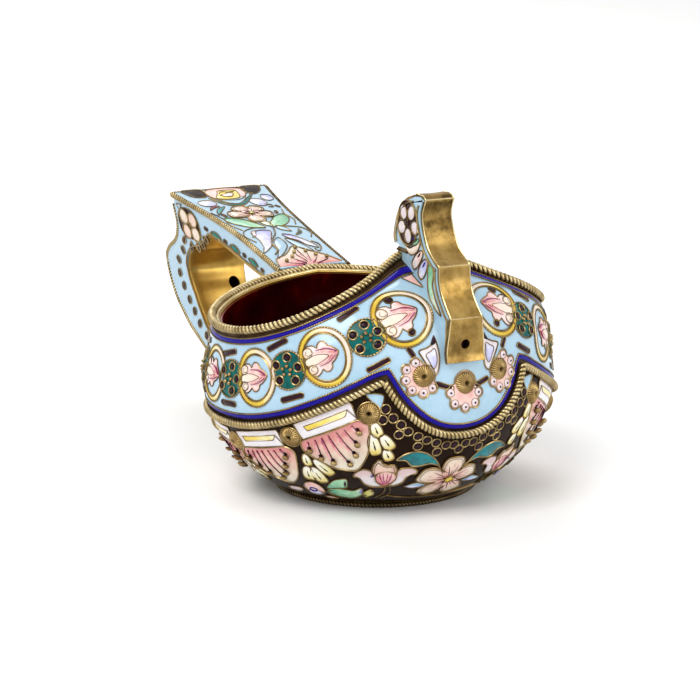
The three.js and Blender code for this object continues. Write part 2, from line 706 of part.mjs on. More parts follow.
// A scalloped shell with a coiled boss in its middle, on the lobe.
const lobeCoilAngles = [-15, 0, 15];
const lobeCoilFalls = [2.2, 4.4, 2.2]; // from the tab's lower edge down to each boss's middle
const scallopShare = 1.75, scallopWaveShare = 0.08, scallops = 6;
function lobeBoss(i) {
  const angle = rad(lobeCoilAngles[i]), height = tabHeight - lobeCoilFalls[i];
  const scallop = (turn) =>
    coilRadius * scallopShare * (1 + scallopWaveShare * Math.cos(scallops * turn));
  return joinAll([
    wallPlate(angle, height, scallop, 12, 1, reliefLift, level),
    wallPlate(angle, height, () => coilRadius, 8, 1, reliefLift, dome(coilDome)),
  ]);
}

// The chain of ringlets that follows the lobe, each soldered to the next.
const ringletLine = (angle) => besideWire(angle, ringletFall, -1);
const ringletNearShares = Array(ringlets - 1).fill(0.8);
const ringletAngles = rowOfAngles(ringletLine, 1.8, Array(ringlets).fill(ringletRadius),
  ringletNearShares);
const ringletChain = () => joinAll([-1, 1].flatMap((side) => ringletAngles.map((angle) =>
  wallPlate(side * angle, ringletLine(angle), () => ringletRadius, 6, 1, reliefLift, level))));

// The flower under the lobe, and the leaf at each side of it.
const flowerHeight = 7.4;
const petalShare = 0.22; // how far the petals stand out of the flower's mean edge
const flower = () => wallPlate(0, flowerHeight, (turn) =>
  flowerRadius * (1 - petalShare + petalShare * Math.cos(petals * (turn - full / 4))), 20, 1,
  reliefLift, dome(rosetteDome));
const leafAngle = 13.5;
const leafHeight = 12.3;
const leafWidthShare = 0.42;
const leaf = (side) => wallPlate(side * rad(leafAngle), leafHeight, (turn) =>
  leafLength * half * leafWidthShare / Math.hypot(leafWidthShare * Math.cos(turn), Math.sin(turn)),
  12, 2, reliefLift, level);

// Finishes
const finish = (color, roughness, metalness) =>
  new THREE.MeshStandardMaterial({ color, roughness, metalness });
const gilt = finish(0xb08d4a, 0.35, 1);
const darkGilt = finish(0x6e5836, 0.5, 1);
const rubyEnamel = finish(0x5a0b12, 0.12, 0);
const skyEnamel = finish(0xb9d9ef, 0.2, 0);
const cobaltEnamel = finish(0x221a8c, 0.15, 0);
const darkEnamel = finish(0x33221a, 0.2, 0);
const tealEnamel = finish(0x1e7d7a, 0.2, 0);
const pinkEnamel = finish(0xf2c4c0, 0.2, 0);

const kovsh = new THREE.Group();
function add(group, name, geometry, material) {
  const mesh = new THREE.Mesh(geometry, material);
  mesh.name = name;
  group.add(mesh);
}

const bowl = new THREE.Group();
add(bowl, "bowl_shell", metalShell(), gilt);
add(bowl, "bowl_lining", innerLining(), rubyEnamel);
add(bowl, "band_enamel", skyBand, skyEnamel);
add(bowl, "rim_border", rimBorder, cobaltEnamel);
add(bowl, "wire_border", wireBorder, cobaltEnamel);
add(bowl, "lower_enamel", lowerField, darkEnamel);
add(bowl, "rim_wire", rimWire, gilt);
add(bowl, "band_wire", bandWire, gilt);
add(bowl, "foot_wire", footWire, darkGilt);

const filigree = new THREE.Group();
add(filigree, "band_frieze_left", bandFrieze(-1), tealEnamel);
add(filigree, "band_frieze_right", bandFrieze(1), tealEnamel);
add(filigree, "shell_frieze_left", lowerFrieze(-1), pinkEnamel);
add(filigree, "shell_frieze_right", lowerFrieze(1), pinkEnamel);
["left", "middle", "right"].forEach((side, i) =>
  add(filigree, "lobe_boss_" + side, lobeBoss(i), gilt));
add(filigree, "ringlet_chain", ringletChain(), gilt);
add(filigree, "lobe_flower", flower(), pinkEnamel);
add(filigree, "lobe_leaf_left", leaf(-1), tealEnamel);
add(filigree, "lobe_leaf_right", leaf(1), tealEnamel);

const handle = new THREE.Group();
for (const [name, side] of [["left", -1], ["right", 1]]) {
  add(handle, "handle_panel_" + name,
    sidePanel(handleOutline, side, panelOuter, panelThickness, handleSpread), gilt);
  add(handle, "handle_enamel_" + name,
    sidePanel(handleOutline, side, 0, skinThickness, handleSpread), skyEnamel);
  add(handle, "handle_top_wire_" + name, topWire(side), gilt);
  add(handle, "handle_back_wire_" + name, backWire(side), gilt);
}
add(handle, "handle_top_plate", topSheet(-plateThickness - clearance * half, plateThickness), gilt);
add(handle, "handle_top_enamel", topSheet(clearance * half, skinThickness), skyEnamel);
add(handle, "handle_lining", handleLining, gilt);
add(handle, "handle_back_strip", backStrip, gilt);
add(handle, "handle_end_wire", endWire, gilt);

const prow = new THREE.Group();
add(prow, "prow_strip", frontStrip, gilt);
add(prow, "prow_rear_strip", rearStrip, gilt);
for (const [name, side] of [["left", -1], ["right", 1]]) {
  add(prow, "prow_plate_" + name,
    sidePanel(flankShape, side, panelOuter, panelThickness, () => finHalf), gilt);
  add(prow, "prow_enamel_" + name,
    sidePanel(flankShape, side, 0, skinThickness, () => finHalf), skyEnamel);
}

kovsh.add(bowl, filigree, handle, prow);
export default kovsh;
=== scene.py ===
"""A small silver-gilt kovsh with filigree and cloisonne enamel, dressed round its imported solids.

Shapes are worked out in millimetres, +X to the prow and +Z up, and become metres in the mesh.
Tables are short texts: a row for each word, with commas between its numbers.
"""
import logging
import math
from collections.abc import Callable, Iterable
from dataclasses import dataclass, replace
from enum import Enum
from functools import cached_property, partial
from typing import Protocol

import bpy
import numpy as np
from mathutils import Matrix


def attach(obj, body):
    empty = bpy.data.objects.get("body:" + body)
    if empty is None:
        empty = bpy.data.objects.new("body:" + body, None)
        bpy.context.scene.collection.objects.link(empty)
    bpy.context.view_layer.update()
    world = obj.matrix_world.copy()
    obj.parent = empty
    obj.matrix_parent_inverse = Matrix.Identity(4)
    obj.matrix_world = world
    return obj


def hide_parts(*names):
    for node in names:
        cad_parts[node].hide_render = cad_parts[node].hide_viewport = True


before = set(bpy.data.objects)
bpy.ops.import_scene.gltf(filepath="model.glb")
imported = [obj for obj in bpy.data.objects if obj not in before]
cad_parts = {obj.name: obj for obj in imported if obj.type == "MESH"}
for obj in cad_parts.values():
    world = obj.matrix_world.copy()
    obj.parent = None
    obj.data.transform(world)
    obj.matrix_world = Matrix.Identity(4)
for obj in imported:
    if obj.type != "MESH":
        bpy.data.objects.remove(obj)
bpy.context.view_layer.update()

LOG = logging.getLogger("kovsh")


MM = 0.001
FULL = 2 * math.pi
Points = np.ndarray
Pair = tuple[float, float]
SIDES = (("left", -1), ("right", 1))


def table(text: str) -> Points:
    """Numbers of a text table, a row for each word."""
    return np.array([word.split(",") for word in text.split()], float)


def through_points(places: str) -> Callable[[Points], Points]:
    """Smooth curve through a table of places and values, level beyond its ends.

    Each stretch is a cubic whose slope at a point is that of the line between its neighbours.

    Args:
        places: the table, with its places rising.

    Returns:
        A function of an array of places.
    """
    place, value = table(places).T
    before = np.maximum(np.arange(len(place)) - 1, 0)
    after = np.minimum(np.arange(len(place)) + 1, len(place) - 1)
    slope = (value[after] - value[before]) / (place[after] - place[before])

    def at(x: Points) -> Points:
        """The value at each place: a + t (s m0 + t (c + t d)), with t the share of the stretch.

        Args:
            x: the places.

        Returns:
            The values.
        """
        x = np.clip(x, place[0], place[-1])
        i = np.clip(np.searchsorted(place, x, side="left") - 1, 0, len(place) - 2)
        span = place[i + 1] - place[i]
        rise = value[i + 1] - value[i]
        t = (x - place[i]) / span
        c = 3 * rise - span * (2 * slope[i] + slope[i + 1])
        d = span * (slope[i] + slope[i + 1]) - 2 * rise
        return value[i] + t * (span * slope[i] + t * (c + t * d))

    return at


def smooth_line(corners: str | Points, count: int, joined: bool = False) -> Points:
    """Centripetal Catmull-Rom line through corners, at even spacing.

    Args:
        corners: points that the line passes through, or their table.
        count: how many points come back.
        joined: whether it comes round to its first corner again.

    Returns:
        Points of shape (count, 2).
    """
    p = table(corners) if isinstance(corners, str) else corners
    p = np.vstack([p[-1], p, p[:2]] if joined else [2 * p[0] - p[1], p, 2 * p[-1] - p[-2]])
    gap = np.sqrt(np.linalg.norm(np.diff(p, axis=0), axis=1))[:, None]
    x0, x1, x2, x3 = p[:-3], p[1:-2], p[2:-1], p[3:]
    g0, g1, g2 = gap[:-2], gap[1:-1], gap[2:]
    t1 = ((x1 - x0) / g0 - (x2 - x0) / (g0 + g1) + (x2 - x1) / g1) * g1
    t2 = ((x2 - x1) / g1 - (x3 - x1) / (g1 + g2) + (x3 - x2) / g2) * g1
    t = np.linspace(0, 1, 40, endpoint=False)[None, :, None]
    x1, x2, t1, t2 = (a[:, None, :] for a in (x1, x2, t1, t2))
    line = x1 + t * (t1 + t * ((3 * (x2 - x1) - 2 * t1 - t2) + t * (2 * (x1 - x2) + t1 + t2)))
    return spaced(np.vstack([line.reshape(-1, 2), p[-2]]), count)


def run_of(line: Points) -> Points:
    """Length from the start of a line to each of its points."""
    return np.concatenate([[0], np.cumsum(np.linalg.norm(np.diff(line, axis=0), axis=1))])


def spaced(line: Points, count: int) -> Points:
    """The same line with evenly spaced points.

    Args:
        line: points of shape (n, 2) or (n, 3).
        count: how many points come back.

    Returns:
        The new points.
    """
    run = run_of(line)
    at = np.linspace(0, run[-1], count)
    return np.stack([np.interp(at, run, part) for part in line.T], 1)


def moved_aside(line: Points, distance: float) -> Points:
    """The flat line moved to its right, as it runs, where the distance is positive.

    Args:
        line: points of shape (n, 2).
        distance: to its right, or left where negative.

    Returns:
        Points of shape (n, 2).
    """
    along = np.gradient(line, axis=0)
    along /= np.linalg.norm(along, axis=1)[:, None]
    return line + distance * np.stack([along[:, 1], -along[:, 0]], 1)


def turned(points: Points, degrees: float, x: float = 0.0, y: float = 0.0) -> Points:
    """Flat points turned about the origin, and then moved to x and y."""
    c, s = math.cos(math.radians(degrees)), math.sin(math.radians(degrees))
    return points @ np.array([[c, s], [-s, c]]) + (x, y)


def stacked(x: Points, y: Points, z: Points) -> Points:
    """Points from arrays of coordinates, which may be spread over each other."""
    return np.stack(np.broadcast_arrays(x, y, z), -1).astype(float)


@dataclass(frozen=True)
class Wall:
    """The bowl's outer wall: a profile in height, stretched to an egg-shaped plan."""

    half_width: float = 35.0
    front_reach: float = 33.6
    rear_reach: float = 29.4
    rim_height: float = 38.5
    band_height: float = 19.25
    lobe_bottom: float = 17.6
    lobe_edge: float = 27.0
    most_lean: float = 1.6
    profile_share: float = 1.3
    wall_shares: str = (
        "0,.56 .02,.591 .06,.678 .12,.783 .2,.879 .3,.951 .42,1 .56,.971 .7,.932 .84,.784 1,.319")
    rim_shares: str = (
        "0,1.25 8,1.252 15,1.247 22,1.226 30,1.187 45,1.088 60,.984 75,.909 90,.875 105,.875 120,.888 "
        "150,.935 180,.969")
    band_shares: str = (
        "0,1.56 15,1.535 27,1.475 35,1.361 45,1.21 60,1.013 75,.894 90,.852 105,.847 120,.842 150,.85 "
        "180,.857")
    lobe_shares: str = "0,1 5,1.015 10,1.065 15,1.16 20,1.305 24,1.46 27,1.613"

    @property
    def profile_height(self) -> float:
        """Height that the profile is drawn for."""
        return self.rim_height * self.profile_share

    def share(self, height: Points) -> Points:
        """Share of the half width that the wall reaches at a height."""
        return through_points(self.wall_shares)(height / self.profile_height)

    def lean(self, height: Points) -> Points:
        """How much the wall's radius grows for each length that it rises."""
        probe = self.profile_height / 500
        return (self.share(height + probe) - self.share(height - probe)) * self.half_width / (2 * probe)

    def grown(self, height: Points, offset: Points) -> Points:
        """Radius in the unstretched plan, with an offset that is measured square to the wall."""
        lean = self.most_lean * np.tanh(self.lean(height) / self.most_lean)
        return self.half_width * self.share(height) + offset * np.hypot(1, lean)

    def plan(self, angle: Points) -> Points:
        """How far the plan reaches at an angle from the prow, as a share of the half width."""
        reach = np.where(np.cos(angle) > 0, self.front_reach, self.rear_reach)
        return 1 / np.hypot(np.cos(angle) * self.half_width / reach, np.sin(angle))

    def point(self, angle: Points, height: Points, offset: Points = 0.0) -> Points:
        """Point on the wall: the plan's reach at that angle times the profile at that height."""
        return self.plan_point(angle, self.grown(height, offset), height)

    def plan_point(self, angle: Points, radius: Points, height: Points) -> Points:
        """Point at a radius of the unstretched plan, for the floor and the foot."""
        out = radius * self.plan(angle)
        return stacked(out * np.cos(angle), out * np.sin(angle), height)

    def rim(self, angle: Points) -> Points:
        """Height of the rim at an angle from the prow."""
        return self.rim_height * through_points(self.rim_shares)(degrees_from_prow(angle))

    def band(self, angle: Points) -> Points:
        """Height of the wire under the band, as if the lobe were not there."""
        return self.band_height * through_points(self.band_shares)(degrees_from_prow(angle))

    def lobe(self, angle: Points) -> Points:
        """Height of the wire round the lobe, carried straight on beyond its corners.

        Args:
            angle: from the prow.

        Returns:
            The height at each angle.
        """
        degrees = degrees_from_prow(angle)
        (near, low), (far, high) = table(self.lobe_shares)[-2:]
        beyond = np.maximum(degrees - self.lobe_edge, 0) * (high - low) / (far - near)
        return self.lobe_bottom * (through_points(self.lobe_shares)(degrees) + beyond)

    def wire(self, angle: Points) -> Points:
        """Height of the wire under the band, which dips round the lobe under the prow."""
        return np.minimum(self.lobe(angle), self.band(angle))

    def beside_wire(self, angle: Points, distance: float, side: int) -> Points:
        """Edge that keeps a distance above the wire (+1) or below it (-1).

        It is the envelope of circles of that radius whose middles run along the wire; above
        the wire the lower of the two branches' envelopes is taken, so that they meet in a mitre.

        Args:
            angle: from the prow.
            distance: that it keeps.
            side: 1 above the wire, -1 below it.

        Returns:
            Its height at each angle.
        """
        around = np.linspace(-math.pi, math.pi, 1441)
        here = np.arctan2(np.sin(angle), np.cos(angle)) * self.front_reach
        away = np.abs(around * self.front_reach - here[:, None])
        circle = np.where(away < distance, np.sqrt(np.maximum(distance**2 - away**2, 0)), -np.inf)
        branches = (self.lobe, self.band) if side > 0 else (self.wire,)
        return side * np.min([np.max(side * line(around) + circle, axis=1) for line in branches], axis=0)

    def along(self, side: int, height: Points, aside: Points, offset: Points) -> Points:
        """Where the back (-1) or front (+1) wall crosses a plane at a distance beside the middle.

        Args:
            side: -1 at the back, 1 in front.
            height: of the place.
            aside: the plane's distance from the middle.
            offset: square to the wall.

        Returns:
            The place along X.
        """
        grown = self.grown(height, offset) / self.half_width
        across = np.minimum(np.abs(aside) / (self.half_width * grown), 0.98)
        reach = self.front_reach if side > 0 else self.rear_reach
        return side * reach * grown * np.sqrt(1 - across * across)

    def slope(self, line: Callable[[float], float], degrees: float, height: float, probe: float) -> float:
        """How steeply a line round the wall rises to the prow, in degrees along the wall.

        Args:
            line: its height at an angle.
            degrees: the place, from the prow.
            height: where the wall's radius and lean are taken.
            probe: degrees to either side over which the rise is measured.

        Returns:
            The slope.
        """
        angle, step = math.radians(degrees), math.radians(probe)
        rise = (line(angle - step) - line(angle + step)) * math.hypot(1, self.lean(height))
        run = 2 * step * self.half_width * self.share(height) * self.plan(angle)
        return math.degrees(math.atan2(rise, run))

    @cached_property
    def climb(self) -> tuple[Points, Points]:
        """Heights, and the length of wall from the table up to each.

        Returns:
            Both arrays.
        """
        height = np.linspace(0, self.profile_height, 800)
        step = np.hypot(1, self.lean(height[:-1] + height[1] / 2)) * height[1]
        return height, np.concatenate([[0], np.cumsum(step)])


def degrees_from_prow(angle: Points) -> Points:
    """Angle from the prow, either way, in degrees."""
    return np.abs(np.degrees(np.arctan2(np.sin(angle), np.cos(angle))))


class Ground(Protocol):
    """A surface that ornament is drawn on, in flat millimetres."""

    def place(self, x: Points, y: Points, lift: Points) -> Points:
        """Points of the surface at x and y, raised by a lift square to it."""


@dataclass(frozen=True)
class WallSpot:
    """Flat millimetres round a place on the wall: x runs towards the prow, y up the wall.

    The height is found from the length of wall climbed, and the angle from x over the radius there.
    """

    wall: Wall
    mirror: int
    degrees: float
    height: float
    turn: float = 0.0

    def place(self, x: Points, y: Points, lift: Points) -> Points:
        """Points on the wall round the spot, raised by a lift.

        Args:
            x: towards the prow.
            y: up the wall.
            lift: square to the wall.

        Returns:
            Points of shape (..., 3).
        """
        c, s = math.cos(math.radians(self.turn)), math.sin(math.radians(self.turn))
        heights, climbed = self.wall.climb
        start = np.interp(self.height, heights, climbed)
        height = np.interp(start + x * s + y * c, climbed, heights)
        middle = math.radians(self.degrees)
        radius = self.wall.half_width * self.wall.share(height) * self.wall.plan(middle)
        angle = middle - (x * c - y * s) / radius
        return self.wall.point(angle * self.mirror, height, lift)


def linear(hex_colour: str) -> tuple[float, float, float, float]:
    """An sRGB hex colour as linear red, green, blue and alpha."""
    parts = [int(hex_colour[i:i + 2], 16) / 255 for i in (0, 2, 4)]
    return (*((c / 12.92 if c <= 0.04045 else ((c + 0.055) / 1.055)**2.4) for c in parts), 1.0)


def feed(node: bpy.types.Node, links: dict, **values: object) -> None:
    """Sets a node's inputs: underscores stand for spaces, and a node for its first output.

    Args:
        node: whose inputs are set.
        links: input name or number to what feeds it.
        **values: input values.
    """
    for key, value in values.items():
        node.inputs[key.replace("_", " ")].default_value = value
    for key, source in links.items():
        node.id_data.links.new(source.outputs[0] if isinstance(source, bpy.types.Node) else source,
                               node.inputs[key])


def add_node(tree: bpy.types.NodeTree, kind: str, links: dict | None = None, stops: str = "",
             settings: dict | None = None, **values: object) -> bpy.types.Node:
    """Adds a shader node.

    Args:
        tree: the material's node tree.
        kind: the node's type, without "ShaderNode".
        links: input name or number to the node or socket that feeds it.
        stops: of a colour ramp, each a place and an sRGB colour.
        settings: the node's own properties.
        **values: input values.

    Returns:
        The node.
    """
    node = tree.nodes.new("ShaderNode" + kind)
    for key, value in (settings or {}).items():
        setattr(node, key, value)
    feed(node, links or {}, **values)
    colours = stops.split()
    for _ in colours[2:]:
        node.color_ramp.elements.new(0.5)
    for n, colour in enumerate(colours):
        place, colour = colour.split("#")
        node.color_ramp.elements[n].position = float(place)
        node.color_ramp.elements[n].color = linear(colour)
    return node


def new_material(name: str) -> tuple[bpy.types.Material, Callable[..., bpy.types.Node], bpy.types.Node]:
    """A material with a Principled shader, what adds a node to it, and that shader.

    Args:
        name: of the material.

    Returns:
        The three of them.
    """
    made = bpy.data.materials.new(name)
    made.use_nodes = True
    return made, partial(add_node, made.node_tree), made.node_tree.nodes["Principled BSDF"]


@dataclass(frozen=True)
class Enamel:
    """Vitreous enamel, fired in wire cells and polished: glassy, a little uneven, with pinholes."""

    name: str
    slot: str
    stops: str
    roughness: float = 0.17
    mottle: float = 0.16
    mottle_mm: float = 1.3
    pinholes: float = 0.3
    pinhole_mm: float = 0.75
    pinhole_shade: str = "7a6a5c"
    swell_mm: float = 0.9
    swell_depth_mm: float = 0.12
    waviness: float = 0.12
    coat: float = 0.25
    coat_roughness: float = 0.06
    gloss: float = 0.4
    glass_ior: float = 1.52

    def make(self) -> bpy.types.Material:
        """Builds it: the tone attribute, stirred by noise, picks a colour from the ramp.

        Returns:
            The material.
        """
        made, add, shader = new_material(self.name)
        place = {"Vector": add("TexCoord").outputs["Object"]}
        tone = add("Attribute", settings={"attribute_name": "tone"}).outputs["Fac"]
        cloud = add("TexNoise", place, Scale=1 / (self.mottle_mm * MM), Detail=3.0)
        spread = {"From_Min": 0.3, "From_Max": 0.7}
        stir = add("MapRange", {"Value": cloud}, **spread, To_Min=-self.mottle, To_Max=self.mottle)
        mixed = add("Math", {0: tone, 1: stir}, settings={"use_clamp": True})
        ramp = add("ValToRGB", {"Fac": mixed}, self.stops)
        cells = add("TexVoronoi", place, Scale=1 / (self.pinhole_mm * MM))
        hole = add("MapRange", {"Value": cells}, From_Min=0.05, From_Max=0.14, To_Min=self.pinholes,
                   To_Max=0.0)
        dark = add("Mix", {"Factor": hole, 6: ramp},
                   settings={"data_type": "RGBA", "blend_type": "MULTIPLY"})
        dark.inputs[7].default_value = linear(self.pinhole_shade)
        swell = add("TexNoise", place, Scale=1 / (self.swell_mm * MM), Detail=2.0)
        height = add("Math", {0: swell, 1: hole}, settings={"operation": "SUBTRACT"})
        bump = add("Bump", {"Height": height}, Strength=self.waviness, Distance=self.swell_depth_mm * MM)
        rough = add("MapRange", {"Value": cloud}, **spread, To_Min=self.roughness * 0.7,
                    To_Max=self.roughness * 1.5)
        feed(shader, {"Base Color": dark.outputs[2], "Normal": bump, "Roughness": rough},
             IOR=self.glass_ior, Specular_IOR_Level=self.gloss, Coat_Weight=self.coat,
             Coat_Roughness=self.coat_roughness)
        return made


@dataclass(frozen=True)
class Gilt:
    """Fire-gilded silver, worn and tarnished: warm on its crowns, and brown in its grooves, from tarnish and
    from painted shade.
    """

    name: str
    slot: str
    bright: str
    worn: str
    # tarnish: the colour of the tarnish patches, which the tone attribute also mixes in as painted shade
    tarnish: str
    roughness: float = 0.3
    cloud_mm: float = 3.2
    tarnish_low: float = 0.5
    tarnish_high: float = 0.78
    most_tarnish: float = 0.6
    brushed: tuple[float, float, float] = (1.0, 1.0, 1.0)
    grain_mm: float = 0.35
    grain_depth_mm: float = 0.06
    grain: float = 0.12

    def make(self) -> bpy.types.Material:
        """Builds it: noise clouds the gilding and lays on patches of tarnish, and the tone attribute darkens
        the grooves as painted shade.

        Returns:
            The material.
        """
        made, add, shader = new_material(self.name)
        place = {"Vector": add("TexCoord").outputs["Object"]}
        tone = add("Attribute", settings={"attribute_name": "tone"}).outputs["Fac"]
        cloud = add("TexNoise", place, Scale=1 / (self.cloud_mm * MM), Detail=5.0, Roughness=0.62)
        gilding = add("ValToRGB", {"Fac": cloud}, f"0.35#{self.bright} 0.68#{self.worn}")
        patch = add("TexNoise", place, Scale=0.6 / (self.cloud_mm * MM), Detail=6.0, Roughness=0.7)
        stain = add("MapRange", {"Value": patch}, From_Min=self.tarnish_low, From_Max=self.tarnish_high,
                    To_Min=0.0, To_Max=self.most_tarnish)
        # painted shade: the tone attribute darkens grooves and hollows towards the tarnish colour, on top of
        # the real tarnish patches
        tarnish_and_shade = add("Math", {0: stain, 1: tone}, settings={"operation": "ADD", "use_clamp": True})
        colour = add("Mix", {"Factor": tarnish_and_shade, 6: gilding}, settings={"data_type": "RGBA"})
        colour.inputs[7].default_value = linear(self.tarnish)
        rough = add("MapRange", {"Value": tarnish_and_shade}, To_Min=self.roughness, To_Max=self.roughness + 0.35)
        way = add("Mapping", place, Scale=self.brushed)
        grain = add("TexNoise", {"Vector": way}, Scale=1 / (self.grain_mm * MM), Detail=4.0, Roughness=0.6)
        bump = add("Bump", {"Height": grain}, Strength=self.grain, Distance=self.grain_depth_mm * MM)
        feed(shader, {"Base Color": colour.outputs[2], "Roughness": rough, "Normal": bump}, Metallic=1.0)
        return made


class Finish(Enum):
    """The finishes: in an enamel, the tone runs from the first colour to the last."""

    SKY = Enamel("sky_blue_enamel", "sky_enamel", "0#aecde0 .55#9fc2d7 1#8bb0c7")
    COBALT = Enamel("cobalt_enamel", "cobalt_enamel", "0#180b8e 1#0c0552", pinholes=0.1, coat=0.0,
                    gloss=0.12)
    BROWN = Enamel("brown_enamel", "dark_enamel", "0#160903 1#281507", pinholes=0.2, coat=0.0, gloss=0.06)
    AUBERGINE = Enamel("aubergine_enamel", "dark_enamel", "0#351724 .6#210c16 1#10060a", pinholes=0.0,
                       roughness=0.12, coat=0.0, gloss=0.12)
    TEAL = Enamel("teal_enamel", "teal_enamel", "0#06857b .6#036862 1#02474a", coat=0.05, gloss=0.12)
    TURQUOISE = Enamel("turquoise_enamel", "teal_enamel", "0#03464e .5#067a80 1#2a9f9c", coat=0.15,
                       gloss=0.3)
    YELLOW = Enamel("yellow_enamel", "pink_enamel", "0#f4ecc0 .45#edd356 1#dfbb2c")
    DROP = Enamel("drop_enamel", "pink_enamel", "0#f4f3ee .45#f3efd0 .8#ece09a 1#dcc244")
    SHELL = Enamel("shell_enamel", "pink_enamel", "0#ede4d2 .35#ebd2be .75#e4b1a4 1#d68985")
    CREAM = Enamel("cream_enamel", "pink_enamel", "0#f3e6d2 .6#ecd3c2 1#e0b8a8")
    RING = Enamel("ring_enamel", "pink_enamel", "0#ecd9c6 .4#efdf9c .62#e4c83c 1#d2ac24", mottle=0.08,
                  pinholes=0.12)
    PINK = Enamel("pink_enamel", "pink_enamel", "0#f8e6de .5#f2c5bb 1#dd8b90")
    ROSE = Enamel("rose_enamel", "pink_enamel", "0#f8efec .5#f2c9c1 .82#dd8189 1#a23a66")
    WHITE = Enamel("white_enamel", "pink_enamel", "0#eae8ec .6#e6dcdf 1#dabfc0")
    LAVENDER = Enamel("lavender_enamel", "sky_enamel", "0#f1f1f6 .4#cfd0f2 .8#9a9bdc 1#54397c")
    GREEN = Enamel("green_enamel", "teal_enamel", "0#eef3e0 .45#9fd6ab 1#3f9c78")
    LEAF = Enamel("leaf_yellow_enamel", "pink_enamel", "0#f0e7b4 .5#d9cf66 1#86a850")
    RUBY = Enamel("ruby_enamel", "ruby_enamel", "0#7c0a08 .5#380302 1#160101", roughness=0.1, mottle=0.25,
                  mottle_mm=6.0, pinholes=0.0, coat=0.1, gloss=0.2, waviness=0.06)
    MAGENTA = Enamel("magenta_line", "pink_enamel", "0#b04a78 1#7a2050", pinholes=0.0)
    ROPE = Gilt("gilt_rope", "gilt", "dcc796", "b09764", "120a04", 0.27, most_tarnish=0.5)
    # A darker copy of the gilt rope: painted shade for ropes that lie in shade.
    DARK_ROPE = Gilt("shaded_rope", "dark_gilt", "8d7a58", "5f4c30", "1d130a", 0.36)
    WIRE = Gilt("cell_wire", "gilt", "a58a56", "6e5430", "2c1c10", 0.32, tarnish_low=0.42,
                tarnish_high=0.62, most_tarnish=0.7)
    RING_WIRE = Gilt("ring_wire", "gilt", "ae9868", "7c6440", "2c1c10")
    COIL = Gilt("coiled_wire", "gilt", "d2b478", "a28048", "1d120a", 0.34)
    BRUSHED = Gilt("brushed_gilt", "gilt", "ba9a5a", "92733a", "3a2a14", 0.3, 3.6, 0.45, 0.72, 0.7,
                   brushed=(1.0, 0.25, 1.0), grain=0.24)
    PLAIN = Gilt("plain_gilt", "gilt", "d2ad5c", "b28d42", "5a4119", 0.33, 7.0, most_tarnish=0.55)
    # Dark gilt: painted shade in the sunk recesses beside the rim and band ropes, on tarnished metal.
    DARK = Gilt("dark_gilt", "dark_gilt", "5a4630", "3c2c1c", "180f08", 0.45)


(SKY, COBALT, BROWN, AUBERGINE, TEAL, TURQUOISE, YELLOW, DROP, SHELL, CREAM, RING, PINK, ROSE, WHITE,
 LAVENDER, GREEN, LEAF, RUBY, MAGENTA, ROPE, DARK_ROPE, WIRE, RING_WIRE, COIL, BRUSHED, PLAIN, DARK) = Finish


class Sheaf:
    """Faces and vertices of one piece, gathered shape by shape before they become a mesh."""

    def __init__(self) -> None:
        """Starts with nothing in it."""
        self.points: list[Points] = []
        self.tones: list[Points] = []
        self.quads: list[list[int]] = []
        self.caps: list[list[int]] = []
        self.count = 0

    def sweep(self, rings: Points, tone: Points | float = 0.0, joined: bool = False) -> None:
        """Closed surface through rings of points, joined end to end or capped.

        Face (i, j) runs between rings i and i+1 and between their points j and j+1, and all
        faces are turned over where the signed volume comes out negative.

        Args:
            rings: points of shape (rings, around, 3), in millimetres.
            tone: a share of the finish's colours at each point, or one for all.
            joined: whether the last ring joins the first.
        """
        rows, around, _ = rings.shape
        flat = rings.reshape(-1, 3)
        i = np.arange(rows if joined else rows - 1)[:, None]
        j = np.arange(around)
        here, after = i * around, ((i + 1) % rows) * around
        k = (j + 1) % around
        quads = np.stack([here + j, here + k, after + k, after + j], -1).reshape(-1, 4)
        a, b, c, d = (flat[quads[:, n]] for n in range(4))
        volume = np.sum(np.cross(a, b) * c) + np.sum(np.cross(a, c) * d)
        caps = [] if joined else [j[::-1], (rows - 1) * around + j]
        for cap in caps:
            p = flat[cap]
            volume += np.sum(np.cross(p[0], p[1:-1]) * p[2:])
        way = -1 if volume < 0 else 1
        self.points.append(flat)
        self.tones.append(np.broadcast_to(tone, (rows, around)).reshape(-1))
        self.quads += (quads[:, ::way] + self.count).tolist()
        self.caps += [(cap[::way] + self.count).tolist() for cap in caps]
        self.count += len(flat)

    def mesh(self, name: str) -> bpy.types.Mesh:
        """The faces as a mesh in metres, with the tones as a point attribute.

        Args:
            name: of the mesh.

        Returns:
            The mesh.
        """
        made = bpy.data.meshes.new(name)
        made.from_pydata(np.vstack(self.points) * MM, [], self.quads + self.caps)
        tone = made.attributes.new("tone", "FLOAT", "POINT")
        tone.data.foreach_set("value", np.concatenate(self.tones).astype(np.float32))
        return made


